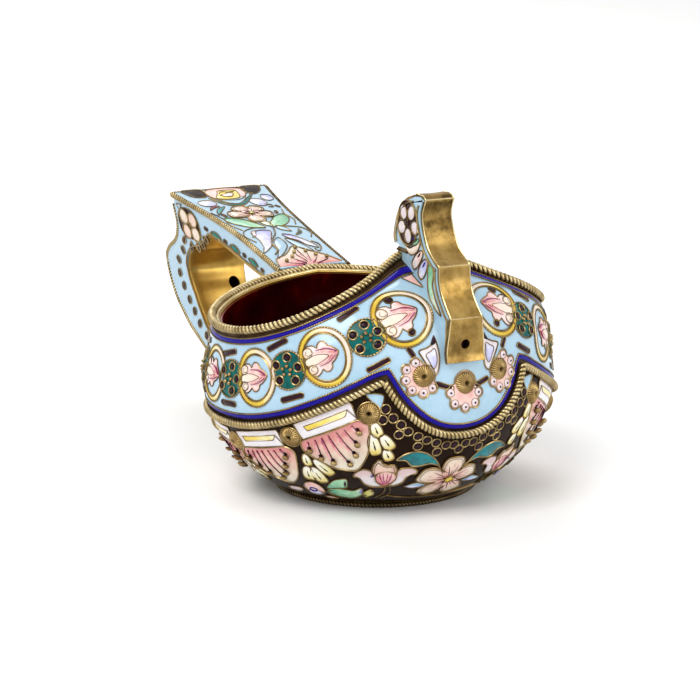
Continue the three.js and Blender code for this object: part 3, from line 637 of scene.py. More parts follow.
class Workshop:
    """Makes each finish once, and turns sheaves into pieces dressed in it."""

    def __init__(self) -> None:
        """Starts with no material made."""
        self.made: dict[Finish, bpy.types.Material] = {}

    def piece(self, sheaf: Sheaf, name: str, finish: Finish, *nodes: str,
              sharp: float = 50.0) -> bpy.types.Object:
        """One piece, riding on the one body.

        Args:
            sheaf: its faces.
            name: of the piece.
            finish: what it is dressed in.
            *nodes: CAD nodes that it stands for.
            sharp: edges that turn more degrees than this stay sharp.

        Returns:
            The new object.
        """
        if finish not in self.made:
            self.made[finish] = finish.value.make()
        mesh = sheaf.mesh(name)
        mesh.shade_smooth()
        mesh.set_sharp_from_angle(angle=math.radians(sharp))
        mesh.materials.append(self.made[finish])
        made = linked(bpy.data.objects.new(name, mesh))
        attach(made, "root")
        if nodes:
            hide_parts(*nodes)
        LOG.info("%s: %d faces", name, len(mesh.polygons))
        return made

    def swept(self, rings: Points, name: str, finish: Finish, *nodes: str, tone: Points | float = 0.0,
              joined: bool = False, sharp: float = 50.0) -> bpy.types.Object:
        """One piece that is a single surface through rings of points.

        Args:
            rings: points of shape (rings, around, 3).
            name: of the piece.
            finish: what it is dressed in.
            *nodes: CAD nodes that it stands for.
            tone: a share of the finish's colours.
            joined: whether the last ring joins the first.
            sharp: edges that turn more degrees than this stay sharp.

        Returns:
            The new object.
        """
        sheaf = Sheaf()
        sheaf.sweep(rings, tone, joined)
        return self.piece(sheaf, name, finish, *nodes, sharp=sharp)

    def laid(self, wire: "Rope | Milled", path: Points, out: Points, name: str, finish: Finish, node: str,
             joined: bool = False) -> None:
        """One piece that is a patterned wire along a path.

        Args:
            wire: its pattern.
            path: points along its middle.
            out: outward direction at each.
            name: of the piece.
            finish: what it is dressed in.
            node: CAD node that it stands for.
            joined: whether the path closes on itself.
        """
        sheaf = Sheaf()
        wire.lay(sheaf, path, out, joined)
        self.piece(sheaf, name, finish, node)

    def pieces(self, sheaves: dict[Finish, Sheaf], prefix: str, **nodes: str) -> None:
        """All sheaves of an ornament as pieces; each finish may stand for CAD nodes.

        Args:
            sheaves: by finish.
            prefix: of the pieces' names.
            **nodes: finish name to the CAD nodes that its piece stands for.
        """
        for finish, sheaf in sheaves.items():
            short = finish.value.name.replace("_enamel", "")
            self.piece(sheaf, f"{prefix}_{short}", finish, *nodes.get(finish.name, "").split())


def linked(made: bpy.types.Object) -> bpy.types.Object:
    """The same object, put into the scene."""
    bpy.context.scene.collection.objects.link(made)
    return made


def frames(path: Points, out: Points, joined: bool) -> tuple[Points, Points]:
    """Unit vectors square to a path: the outward one, and the one beside it.

    Args:
        path: points of shape (n, 3).
        out: about the outward direction at each.
        joined: whether the path closes on itself.

    Returns:
        Both vectors at each point.
    """
    along = np.roll(path, -1, 0) - np.roll(path, 1, 0) if joined else np.gradient(path, axis=0)
    along /= np.linalg.norm(along, axis=1)[:, None]
    out = out - np.sum(out * along, 1)[:, None] * along
    out /= np.linalg.norm(out, axis=1)[:, None]
    return out, np.cross(along, out)


def tube(path: Points, out: Points, radius: Points | float, sides: int, joined: bool = False) -> Points:
    """Rings of a round wire: middle + radius (cos t out + sin t beside).

    Args:
        path: points of shape (n, 3).
        out: outward direction at each.
        radius: of the wire, all along or at each point.
        sides: points round it.
        joined: whether the path closes on itself.

    Returns:
        Points of shape (n, sides, 3).
    """
    up, beside = frames(path, out, joined)
    turn = np.linspace(0, FULL, sides, endpoint=False)[None, :, None]
    radius = np.broadcast_to(radius, (len(path),))[:, None, None]
    return path[:, None] + radius * (np.cos(turn) * up[:, None] + np.sin(turn) * beside[:, None])


def stepped(path: Points, out: Points, pitch: float, steps: int,
            joined: bool) -> tuple[Points, Points, Points]:
    """A path in even steps, on which a pattern fits a whole number of times.

    Args:
        path: points of shape (n, 3).
        out: outward direction at each.
        pitch: about the length of the pattern.
        steps: points to each pattern.
        joined: whether the path closes on itself.

    Returns:
        How many patterns have gone by at each new point, the points, and their outward directions.
    """
    both = np.hstack([path, np.broadcast_to(out, path.shape)])
    if joined:
        both = np.vstack([both, both[:1]])
    run = run_of(both[:, :3])
    patterns = max(round(run[-1] / pitch), 1)
    at = np.linspace(0, run[-1], patterns * steps + 1)[:-1 if joined else None]
    new = np.stack([np.interp(at, run, part) for part in both.T], 1)
    return at / run[-1] * patterns, new[:, :3], new[:, 3:]


@dataclass(frozen=True)
class Rope:
    """Two drawn wires twisted together: each winds round the middle once in a pitch."""

    radius: float
    pitch: float
    steps: int = 12
    sides: int = 8
    strand_share: float = 0.52
    groove: float = 6.5
    crown: float = 0.985

    def lay(self, sheaf: Sheaf, path: Points, out: Points, joined: bool = False) -> None:
        """Adds the strands along a dense path.

        A strand's middle is the path's plus (radius - strand) at the angle 2 pi run / pitch, and
        the tone grows from its crown to the groove between the strands, as painted shade with some tarnish
        in the groove.

        Args:
            sheaf: that takes the faces.
            path: points along its middle.
            out: outward direction at each.
            joined: whether the path closes on itself.
        """
        phase, middle, outward = stepped(path, out, self.pitch, self.steps, joined)
        up, beside = frames(middle, outward, joined)
        strand = self.radius * self.strand_share
        for start in (0.0, 0.5):
            wind = FULL * (phase + start)[:, None]
            away = np.cos(wind) * up + np.sin(wind) * beside
            rings = tube(middle + (self.radius - strand) * away, away, strand, self.sides, joined)
            # tone: painted shade, with some tarnish, that darkens each strand towards the groove between the
            # strands
            reach = np.linalg.norm(rings - middle[:, None], axis=2) / self.radius
            sheaf.sweep(rings, np.clip(self.groove * (self.crown - reach), 0, 1), joined)


@dataclass(frozen=True)
class Milled:
    """A thin wire rolled to a row of beads: its radius swells once for each bead."""

    radius: float
    bead: float = 0.62
    waist_share: float = 0.72
    steps: int = 4
    sides: int = 6

    def lay(self, sheaf: Sheaf, path: Points, out: Points, joined: bool = False) -> None:
        """Adds the wire: radius (waist + (1 - waist) |sin(pi run / bead)|).

        Args:
            sheaf: that takes the faces.
            path: points along its middle.
            out: outward direction at each.
            joined: whether the path closes on itself.
        """
        phase, middle, outward = stepped(path, out, self.bead, self.steps, joined)
        swell = np.abs(np.sin(math.pi * phase))
        radius = self.radius * (self.waist_share + (1 - self.waist_share) * swell)
        # tone 0.7 (1 - swell): painted shade, with some tarnish, in the waists between the beads
        sheaf.sweep(tube(middle, outward, radius, self.sides, joined), 0.7 * (1 - swell)[:, None], joined)


@dataclass
class Ornament:
    """Filigree and enamel drawn on a ground: each call adds one shape to the sheaf of its finish."""

    ground: Ground
    sheaves: dict[Finish, Sheaf]
    lift: float = 0.0
    sink: float = 0.25
    step: float = 0.05

    def at(self, ground: Ground) -> "Ornament":
        """The same pen on another ground."""
        return Ornament(ground, self.sheaves)

    def up(self, lift: float) -> "Ornament":
        """The same pen, raised more."""
        return Ornament(self.ground, self.sheaves, self.lift + lift)

    def sheaf(self, finish: Finish) -> Sheaf:
        """The sheaf that gathers a finish."""
        return self.sheaves.setdefault(finish, Sheaf())

    def sweep(self, finish: Finish, flat: Points, lift: Points, tone: Points | float,
              joined: bool = False) -> None:
        """Closed surface through rings of flat points, each raised by its lift over the pen's own."""
        rings = self.ground.place(flat[..., 0], flat[..., 1], self.lift + lift)
        self.sheaf(finish).sweep(rings, tone, joined)

    def fill(self, outline: Points, finish: Finish, height: float, tone: Points | float | None = None,
             middle: Points | None = None, rings: int = 3, span: Pair = (0.0, 1.0)) -> None:
        """A pool of enamel inside an outline: its top swells as height (1 - share^2).

        Args:
            outline: flat points of shape (n, 2), which the middle sees all of.
            finish: of the enamel.
            height: how far its middle stands above its edge.
            tone: at each outline point or all over; it runs through the span where it isn't given.
            middle: a point inside, or the outline's mean.
            rings: rings between the middle and the edge.
            span: tones at the middle and at the edge.
        """
        heart = np.mean(outline, axis=0) if middle is None else middle
        share = np.append(np.linspace(0.08, 1, rings + 1), 1.0)[:, None]
        lift = self.step + height * (1 - share**2)
        lift[-1] = -self.sink
        shade = span[0] + (span[1] - span[0]) * share
        if tone is not None:
            shade = np.mean(tone) + share * (tone - np.mean(tone))
        self.sweep(finish, heart + share[..., None] * (outline - heart), lift, shade)

    def line(self, points: Points, finish: Finish, radius: float = 0.125, joined: bool = False,
             milled: bool = False) -> None:
        """A drawn wire soldered along flat points, half sunk in the enamel, plain or rolled to beads.

        Args:
            points: flat points of shape (n, 2).
            finish: of the wire.
            radius: of the wire.
            joined: whether it closes on itself.
            milled: whether it is rolled to beads.
        """
        path, above = (self.ground.place(*points.T, self.lift + lift)
                       for lift in (0.4 * radius + 0.06, 1.0))
        if milled:
            Milled(radius).lay(self.sheaf(finish), path, above - path, joined)
        else:
            self.sheaf(finish).sweep(tube(path, above - path, radius, 5, joined), 0.0, joined)

    def draw(self, marks: "Iterable[Mark]", flip: Pair = (1, 1)) -> None:
        """Puts down the items of a drawing, mirrored where flip is negative."""
        for mark in marks:
            mark.put(self, flip)

    def grain(self, x: float, y: float, radius: float, finish: Finish = RING_WIRE) -> None:
        """A granule of gilt silver: a ball that stands on the ground at x and y, darker on its lower half as
        painted shade.

        Args:
            x: its middle's flat place.
            y: its middle's flat place.
            radius: of the ball.
            finish: of the metal.
        """
        polar = np.linspace(0.25, math.pi - 0.25, 5)[:, None]
        flat = np.sin(polar)[..., None] * circle(0, 0, radius, 8) + (x, y)
        # tone: painted shade, darker towards the foot of the ball where it meets the ground
        tone = np.clip(1.6 * (polar / math.pi - 0.45), 0, 1)
        self.sweep(finish, flat, radius * (0.75 + np.cos(polar)), tone)

    def coil(self, radius: float, height: float, x: float = 0.0, y: float = 0.0) -> None:
        """A boss of wound wire: a dome whose 26 ribs run out from a pit, as its rope turns.

        The lift is height (1 - share^2.4) + 0.025 radius cos(26 t), and it drops into the pit. Painted shade
        darkens the troughs between the ribs and the pit.

        Args:
            radius: of the boss.
            height: of its crown.
            x: its middle's flat place.
            y: its middle's flat place.
        """
        ribs = 26
        turn = np.linspace(0, FULL, ribs * 4, endpoint=False)
        rows = table(".1,0,.55 .2,0,.3 .3,.5,0 .5,1,0 .7,1,0 .88,1,0 1,.7,0 1,.4,0")
        share, deep, pit = rows.T[..., None]
        wave = np.cos(ribs * turn + 2.6 * share)
        lift = 0.1 + height * (1 - share**2.4) - pit * height + 0.05 * deep * wave * radius / 2
        lift[-1] = -self.sink
        out = share * (1 + 0.02 * wave * deep)
        flat = out[..., None] * circle(0, 0, radius, ribs * 4) + (x, y)
        # tone: painted shade, darker in the troughs between the ribs and in the pit
        self.sweep(COIL, flat, lift, np.clip(0.38 - 0.42 * wave * deep + pit, 0, 1))


def circle(x: float, y: float, radius: float, count: int = 20, squash: float = 1.0,
           turn: float = 0.0) -> Points:
    """Points round a circle, or an ellipse whose second axis is a share of its first."""
    t = np.linspace(0, FULL, count, endpoint=False)
    return turned(radius * np.stack([np.cos(t), squash * np.sin(t)], 1), turn, x, y)


def bar(x: float, y: float, length: float, width: float, turn: float = 0.0) -> Points:
    """Outline of a straight bar with round ends, round its middle.

    Args:
        x: its middle's flat place.
        y: its middle's flat place.
        length: over its ends.
        width: across it.
        turn: its direction in degrees.

    Returns:
        Points of shape (16, 2).
    """
    t = np.linspace(0, FULL, 16, endpoint=False)
    run = (length - width) * np.sign(np.cos(t)) + width * np.cos(t)
    return turned(0.5 * np.stack([run, width * np.sin(t)], 1), turn, x, y)


def blade(x: float, y: float, length: float, width: float, turn: float, belly: float = 0.45,
          tip: float = 1.0, count: int = 22) -> Points:
    """Outline of a leaf or petal that grows from a point.

    Its half width at a share s of its length is width/2 (s / belly)^a ((1 - s) / (1 - belly))^b.

    Args:
        x: flat place of its root.
        y: flat place of its root.
        length: from root to tip.
        width: at the belly.
        turn: direction that it grows in, in degrees.
        belly: share of its length where it is widest.
        tip: above 1 for a sharp tip, below for a round one.
        count: points round it.

    Returns:
        Points of shape (count, 2).
    """
    s = 0.5 - 0.5 * np.cos(np.linspace(0, math.pi, count // 2 + 1))
    a = tip * belly / (1 - belly) if belly < 0.5 else tip
    b = tip if belly < 0.5 else tip * (1 - belly) / belly
    wide = 0.5 * width * (s / belly)**a * ((1 - s) / (1 - belly))**b
    left = np.stack([s * length, wide], 1)
    return turned(np.vstack([left, (left * (1, -1))[-2:0:-1]]), turn, x, y)


def dart(x0: float, y0: float, x1: float, y1: float, width: float, **shape: float) -> Points:
    """Outline of a blade from one flat point to another."""
    turn = math.degrees(math.atan2(y1 - y0, x1 - x0))
    return blade(x0, y0, math.hypot(x1 - x0, y1 - y0), width, turn, **shape)


class Mark(Protocol):
    """One item of a drawing, which a pen can put down, mirrored or not."""

    def put(self, pen: Ornament, flip: Pair) -> None:
        """Draws it with its x and y multiplied by flip."""


@dataclass(frozen=True)
class Cell:
    """An enamel cell: its corners, how its colour runs between two tones, and its wire."""

    finish: Finish
    corners: str | Points
    tone: Pair = (0.0, 1.0)
    along: float | None = None
    middle: Pair | None = None
    lift: float = 0.0
    height: float = 0.2
    wire: float = 0.12
    wire_finish: Finish = WIRE
    straight: bool = False

    def put(self, pen: Ornament, flip: Pair) -> None:
        """Fills it and lays its wire; arrays of points are taken as they are.

        Args:
            pen: what draws it.
            flip: what x and y are multiplied by.
        """
        outline, run = self.corners, None
        if isinstance(outline, str):
            corners = table(outline)
            count = 6 * len(corners) + 11
            outline = (spaced(np.vstack([corners, corners[:1]]), count) if self.straight
                       else smooth_line(corners, count, joined=True))[:-1]
        outline = outline * flip
        if self.along is not None:
            way = np.array([math.cos(math.radians(self.along)), math.sin(math.radians(self.along))]) * flip
            run = outline @ way
            run = self.tone[0] + (self.tone[1] - self.tone[0]) * (run - run.min()) / np.ptp(run)
        pen = pen.up(self.lift)
        middle = None if self.middle is None else np.array(self.middle) * flip
        pen.fill(outline, self.finish, self.height, run, middle, span=self.tone)
        if self.wire:
            pen.line(outline, self.wire_finish, self.wire, joined=True)


@dataclass(frozen=True)
class Ribbon:
    """A strip of enamel along a line, widest at a share of its length and pointed at its ends."""

    finish: Finish
    corners: str | Points
    width: float
    tone: Pair = (0.0, 1.0)
    belly: float = 0.5
    lift: float = 0.0
    height: float = 0.15
    wired: bool = False
    count: int = 16

    def put(self, pen: Ornament, flip: Pair) -> None:
        """Width times (s / belly)(2 - s / belly) before the belly, and the same from the end after it.

        Its top swells across as height (1 - share^2), and a wire may run round it.

        Args:
            pen: what draws it.
            flip: what x and y are multiplied by.
        """
        pen = pen.up(self.lift)
        line = smooth_line(self.corners, self.count) * flip
        s = np.linspace(0, 1, self.count)[:, None]
        r = np.where(s < self.belly, s / self.belly, (1 - s) / (1 - self.belly))
        aside = 0.5 * self.width * np.maximum(r * (2 - r), 0.12) * (moved_aside(line, -1) - line)
        across = np.array([-1, -0.55, 0, 0.55, 1, 1, 0, -1])
        lift = np.where(np.arange(8) < 5, pen.step + self.height * (1 - across**2), -pen.sink)
        tone = self.tone[0] + (self.tone[1] - self.tone[0]) * s
        pen.sweep(self.finish, line[:, None] + aside[:, None] * across[:, None], lift, tone)
        if self.wired:
            pen.line(np.vstack([line + aside, (line - aside)[::-1]]), WIRE, joined=True)


@dataclass(frozen=True)
class Thread:
    """A bare wire along a line; arrays of points are taken as they are."""

    corners: str | Points
    radius: float = 0.1
    finish: Finish = WIRE
    lift: float = 0.0
    joined: bool = False

    def put(self, pen: Ornament, flip: Pair) -> None:
        """Lays it.

        Args:
            pen: what draws it.
            flip: what x and y are multiplied by.
        """
        line = self.corners
        if isinstance(line, str):
            line = smooth_line(line, 5 * len(line.split()) + 2)
        pen.up(self.lift).line(line * flip, self.finish, self.radius, self.joined)


@dataclass(frozen=True)
class Disc:
    """A round or oval pool, ringed where its wire has a radius."""

    finish: Finish
    x: float
    y: float
    radius: float
    squash: float = 1.0
    turn: float = 0.0
    tone: float | None = None
    wire: float = 0.12
    wire_finish: Finish = WIRE
    lift: float = 0.0
    height: float = 0.16
    count: int = 16

    def put(self, pen: Ornament, flip: Pair) -> None:
        """Fills it and rings it.

        Args:
            pen: what draws it.
            flip: what x and y are multiplied by.
        """
        outline = circle(self.x, self.y, self.radius, self.count, self.squash, self.turn) * flip
        pen = pen.up(self.lift)
        pen.fill(outline, self.finish, self.height, self.tone, rings=2)
        if self.wire:
            pen.line(outline, self.wire_finish, self.wire, joined=True)


def drops(rows: str) -> list[Mark]:
    """Drops that are pale at their roots and yellow at their round ends, each with a dark slit.

    Args:
        rows: a table of where each starts and ends, and its width.

    Returns:
        What to draw.
    """
    marks: list[Mark] = []
    for x0, y0, x1, y1, width in table(rows):
        slit = np.array([x0, y0]) + np.array([[0.3], [0.52], [0.78]]) * (x1 - x0, y1 - y0)
        marks += [Cell(DROP, dart(x0, y0, x1, y1, width, belly=0.64, tip=0.45, count=24), height=0.26,
                       along=math.degrees(math.atan2(y1 - y0, x1 - x0))),
                  Ribbon(AUBERGINE, slit, 0.34, lift=0.24, height=0.03, belly=0.65, count=8)]
    return marks


def petals(x: float, y: float, leaves: str) -> list[Mark]:
    """Petals round a point, each with a second wire inside its edge and three dark veins from its root.

    Args:
        x: the flower's flat place.
        y: the flower's flat place.
        leaves: a table of their lengths, widths and directions.

    Returns:
        What to draw.
    """
    shape = {"belly": 0.64, "tip": 0.5, "count": 30}
    marks: list[Mark] = []
    for length, width, turn in table(leaves):
        marks += [Cell(SHELL, blade(x, y, length, width, turn, **shape), (0.05, 1), turn + 180, height=0.3,
                       wire=0.15),
                  Thread(blade(x, y, length * 0.92, width * 0.8, turn, **shape)[6:-5], 0.06, lift=0.2)]
        for n in (-1, 0, 1):
            vein = length * np.array([[0.18, 0], [0.42, 0], [0.72 - 0.06 * abs(n), 0]])
            marks.append(Ribbon(AUBERGINE, turned(vein, turn + 15 * n, x, y), 0.2, (0, 0), 0.3, 0.26, 0.03,
                                count=8))
    return marks


@dataclass
class Bowl:
    """The round bowl: its metal, its enamel grounds and the wires that part them."""

    wall: Wall
    shop: Workshop
    enamel: float = 0.5
    clearance: float = 0.3
    metal: float = 0.6
    floor: float = 1.2
    floor_turn: float = 1.6
    lip_share: float = 0.985
    rim_rope: Rope = Rope(0.85, 1.9)
    band_rope: Rope = Rope(0.8, 1.7)
    foot_rope: Rope = Rope(0.5, 1.4)
    line_wire: Milled = Milled(0.17, 0.5)
    line_lift: float = 0.08
    lip_wire: Milled = Milled(0.15, 0.5)
    lip_wire_rise: float = 0.1
    foot_radius: float = 20.0
    wire_seat: float = 0.4
    rim_seat: float = 0.4
    lip_seat: float = -0.74
    lip_radius: float = 0.42
    border_gap: float = 1.2
    border_far: float = 2.15
    border_width: float = 0.95
    rim_fall: float = 1.3
    recess: float = 0.25
    crown: float = 0.12
    steps: int = 480

    @cached_property
    def angles(self) -> Points:
        """Angles round the bowl, with one at each mitred corner of the band's wire.

        Returns:
            Angles in radians, rising.
        """
        even = np.linspace(-math.pi, math.pi, self.steps, endpoint=False)
        corner = math.radians(self.wall.lobe_edge)
        return np.unique(np.concatenate([even, [-corner, corner]]))

    @property
    def foot_top(self) -> float:
        """Height where the wall leaves the foot."""
        return 2 * self.foot_rope.radius + self.clearance

    def low_cobalt(self, angle: Points) -> Points:
        """Height of the lower edge of the cobalt line under the rim."""
        return self.wall.rim(angle) - self.rim_fall - self.border_width

    def band_middle(self, angle: Points) -> Points:
        """Height halfway between the two cobalt lines."""
        return 0.5 * (self.wall.band(angle) + self.border_far + self.low_cobalt(angle))

    def skin(self, name: str, finish: Finish, *nodes: str, low: Points, high: Points, rows: int,
             crown: float = 0.0, tone: float | None = None) -> None:
        """A closed skin round the wall between two edges.

        The outer face is at offset crown (1 - (2 s - 1)^2), with s the share of the way up.

        Args:
            name: of the piece.
            finish: what it is dressed in.
            *nodes: CAD nodes that it stands for.
            low: height of the lower edge at each angle.
            high: height of the upper edge.
            rows: of faces between them.
            crown: how far the middle swells.
            tone: the same tone all over, or a rise from the middle to both edges that paints shade where the
                skin meets the wires and ropes.
        """
        s = np.linspace(0, 1, rows + 1)
        share = np.append(s, s[::-1])
        offset = np.append(crown * (1 - (2 * s - 1)**2), np.full(rows + 1, -self.enamel))
        height = low[:, None] + (high - low)[:, None] * share
        rings = self.wall.point(self.angles[:, None], height, offset)
        # painted shade: darker towards both edges, where the skin meets the wires and ropes
        shade = np.abs(2 * share - 1)**4 * 0.5 if tone is None else tone
        self.shop.swept(rings, name, finish, *nodes, tone=shade, joined=True)

    def edge(self, height: Points, lift: float) -> tuple[Points, Points]:
        """Path along the wall at a height for each angle, and its outward direction."""
        path = self.wall.point(self.angles, height, lift)
        return path, self.wall.point(self.angles, height, lift + 1.0) - path

    def wall_rows(self, base: float, shares: Points, offset: float) -> Points:
        """Rings up the wall from a base to shares of the way to the rim."""
        height = base + (self.wall.rim(self.angles) - base) * shares[:, None]
        return self.wall.point(self.angles, height, offset)

    def inside_rows(self, offset: float, floor: float) -> Points:
        """Rings from the middle of the bowl's floor, round its turn and up the wall.

        Args:
            offset: of the inside from the wall's outside.
            floor: the floor's height.

        Returns:
            Points of shape (rings, around, 3).
        """
        base = self.floor + self.floor_turn
        foot = self.wall.half_width * self.wall.share(base) + offset
        turn = np.linspace(0, math.pi / 2, 7)[:-1, None]
        radius = np.vstack([table("0.01 0.2 0.4 0.6 0.74"), 0.84 + 0.16 * np.sin(turn)])
        height = np.vstack([np.full((5, 1), floor), floor + (base - floor) * (1 - np.cos(turn))])
        low = self.wall.plan_point(self.angles, foot * radius, height)
        return np.concatenate([low, self.wall_rows(base, np.linspace(0, self.lip_share, 22), offset)])

    def metal_shell(self) -> None:
        """The silver body: flat base, wall, rounded lip and floor inside."""
        outer = -self.enamel - self.clearance
        flat = self.foot_radius - self.foot_rope.radius - self.clearance
        share, up = table("0.01,0 0.3,0 0.6,0 0.9,0 1,0 1,1").T[..., None]
        base = self.wall.plan_point(self.angles, flat * share, self.foot_top * up)
        rise = self.wall_rows(self.foot_top, np.linspace(0, 1, 24)[:-1], outer)
        turn = np.linspace(0, math.pi, 9)[:, None]
        radius = self.metal / 2
        lip = self.wall.point(self.angles, self.wall.rim(self.angles) - radius * (1 - np.sin(turn)),
                              outer - radius * (1 - np.cos(turn)))
        rings = np.concatenate([base, rise, lip, self.inside_rows(outer - self.metal, self.floor)[::-1]])
        tone = np.zeros((len(rings), 1))
        # painted shade: the outer wall, seen only in the narrow gaps between the enamel grounds, is darkened
        # to tone 0.9
        tone[len(base):len(base) + len(rise)] = 0.9
        self.shop.swept(rings, "bowl_silver", PLAIN, "bowl_shell", tone=tone)

    def lining(self) -> None:
        """The ruby enamel that lines the inside, up to a narrow gilt lip, with painted shade that darkens it
        low down and towards the back.
        """
        outer = -self.enamel - self.clearance - self.metal + 0.05
        floor = self.floor + self.clearance
        rings = np.concatenate([self.inside_rows(outer, floor),
                                self.inside_rows(outer - self.enamel, floor + self.enamel)[::-1]])
        # painted shade: the ruby darkens low in the bowl and towards the back
        deep = 0.75 - rings[..., 2] / self.wall.rim_height - rings[..., 0] / self.wall.front_reach
        self.shop.swept(rings, "bowl_ruby_lining", RUBY, "bowl_lining", tone=np.clip(deep, 0, 1))

    def grounds(self) -> None:
        """Sky enamel in the band, cobalt lines along it, recesses by the ropes in dark gilt as painted
        shade, brown below.
        """
        rim, low_cobalt = self.wall.rim(self.angles), self.low_cobalt(self.angles)
        above = partial(self.wall.beside_wire, self.angles, side=1)
        top, near, gap = rim - self.rim_fall, above(self.border_gap), self.clearance
        self.skin("band_sky_ground", SKY, "band_enamel", low=above(self.border_far + gap / 2),
                  high=low_cobalt - gap / 2, rows=16)
        self.skin("rim_cobalt_line", COBALT, "rim_border", low=low_cobalt + gap / 2, high=top, rows=4,
                  crown=self.crown)
        self.skin("band_cobalt_line", COBALT, "wire_border", low=near,
                  high=above(self.border_far - gap / 2), rows=4, crown=self.crown)
        # painted shade: sunk strips of dark gilt in the recesses beside the rim and band ropes
        self.skin("rim_shaded_recess", DARK, low=top, high=rim, rows=2, crown=-self.recess)
        self.skin("band_dark_recess", DARK, low=self.wall.wire(self.angles), high=near, rows=2,
                  crown=-self.recess)
        self.skin("lower_brown_ground", BROWN, "lower_enamel", low=np.full(len(rim), self.foot_top + gap),
                  high=self.wall.beside_wire(self.angles, self.border_gap - 0.3, -1), rows=14, tone=0.4)

    def wires(self) -> None:
        """The ropes at the rim, band and foot, the gilt lip, and fine milled wires beside the cobalt."""
        rim, a = self.wall.rim(self.angles), self.angles
        self.shop.laid(self.rim_rope, *self.edge(rim + self.rim_seat, self.rim_seat), "rim_rope", ROPE,
                       "rim_wire", joined=True)
        self.shop.swept(tube(*self.edge(rim, self.lip_seat), self.lip_radius, 10, True), "rim_gilt_lip",
                        ROPE, joined=True)
        self.shop.laid(self.band_rope, *self.edge(self.wall.wire(a), self.wire_seat), "band_rope", ROPE,
                       "band_wire", joined=True)
        foot = self.wall.plan_point(a, self.foot_radius, self.foot_rope.radius)
        # painted shade: the foot rope takes the shaded copy of the gilt rope
        self.shop.laid(self.foot_rope, foot, foot * (1, 1, 0), "foot_rope", DARK_ROPE, "foot_wire",
                       joined=True)
        fine = Sheaf()
        for height in (self.low_cobalt(a), self.wall.beside_wire(a, self.border_far, 1)):
            self.line_wire.lay(fine, *self.edge(height, self.line_lift), True)
        self.lip_wire.lay(fine, *self.edge(rim - self.rim_fall + self.lip_wire_rise, 0.0), True)
        self.shop.piece(fine, "milled_wires", RING_WIRE)

    def build(self) -> None:
        """Makes all of the bowl's plain forms."""
        self.metal_shell()
        self.lining()
        self.grounds()
        self.wires()


def strip_rings(line: Points, thickness: float, wide: Points, columns: int, hollow: float = 0.0) -> Points:
    """Rings of a strip whose path is drawn in side view.

    Args:
        line: points (x, z) of its visible side.
        thickness: how far its other side lies to the right of the line, or left where negative.
        wide: half its width at each point.
        columns: of faces across it.
        hollow: how far its visible side is dished across.

    Returns:
        Points of shape (len(line), 2 columns + 2, 3).
    """
    s = np.linspace(-1, 1, columns + 1)
    s[1], s[-2] = -1 + 0.05, 1 - 0.05
    ease = hollow * (1 - s**2)
    ease[[0, -1]] += 0.12
    depths = np.append(ease * math.copysign(1, thickness), np.full(columns + 1, thickness))
    shifted = np.stack([moved_aside(line, depth) for depth in depths], 1)
    return stacked(shifted[..., 0], wide[:, None] * np.append(s, s[::-1]), shifted[..., 1])


def sheet_rings(x: Points, y: Points, z: Points, move: Points) -> Points:
    """Rings of a sheet from the grid of its face; its back is moved by a vector."""
    face = stacked(x, y, z)
    return np.concatenate([face, face[:, ::-1] + move], 1)


def drilled(piece: bpy.types.Object, x: float, y: float, z: float, radius: float) -> None:
    """Cuts a round hole along X through a finished piece, with a Boolean that is applied at once.

    Args:
        piece: what is cut.
        x: the hole's middle.
        y: the hole's middle.
        z: the hole's middle.
        radius: of the hole.
    """
    turn = np.linspace(0, FULL, 32, endpoint=False)
    depth = np.array([[-3.0], [3.0]])
    drill = Sheaf()
    drill.sweep(stacked(x + depth, y + radius * np.cos(turn), z + radius * np.sin(turn)))
    cutter = linked(bpy.data.objects.new("drill", drill.mesh("drill")))
    cut = piece.modifiers.new("vent", "BOOLEAN")
    cut.operation, cut.solver, cut.object = "DIFFERENCE", "EXACT", cutter
    done = bpy.data.meshes.new_from_object(piece.evaluated_get(bpy.context.evaluated_depsgraph_get()))
    piece.modifiers.clear()
    piece.data = done
    bpy.data.objects.remove(cutter)


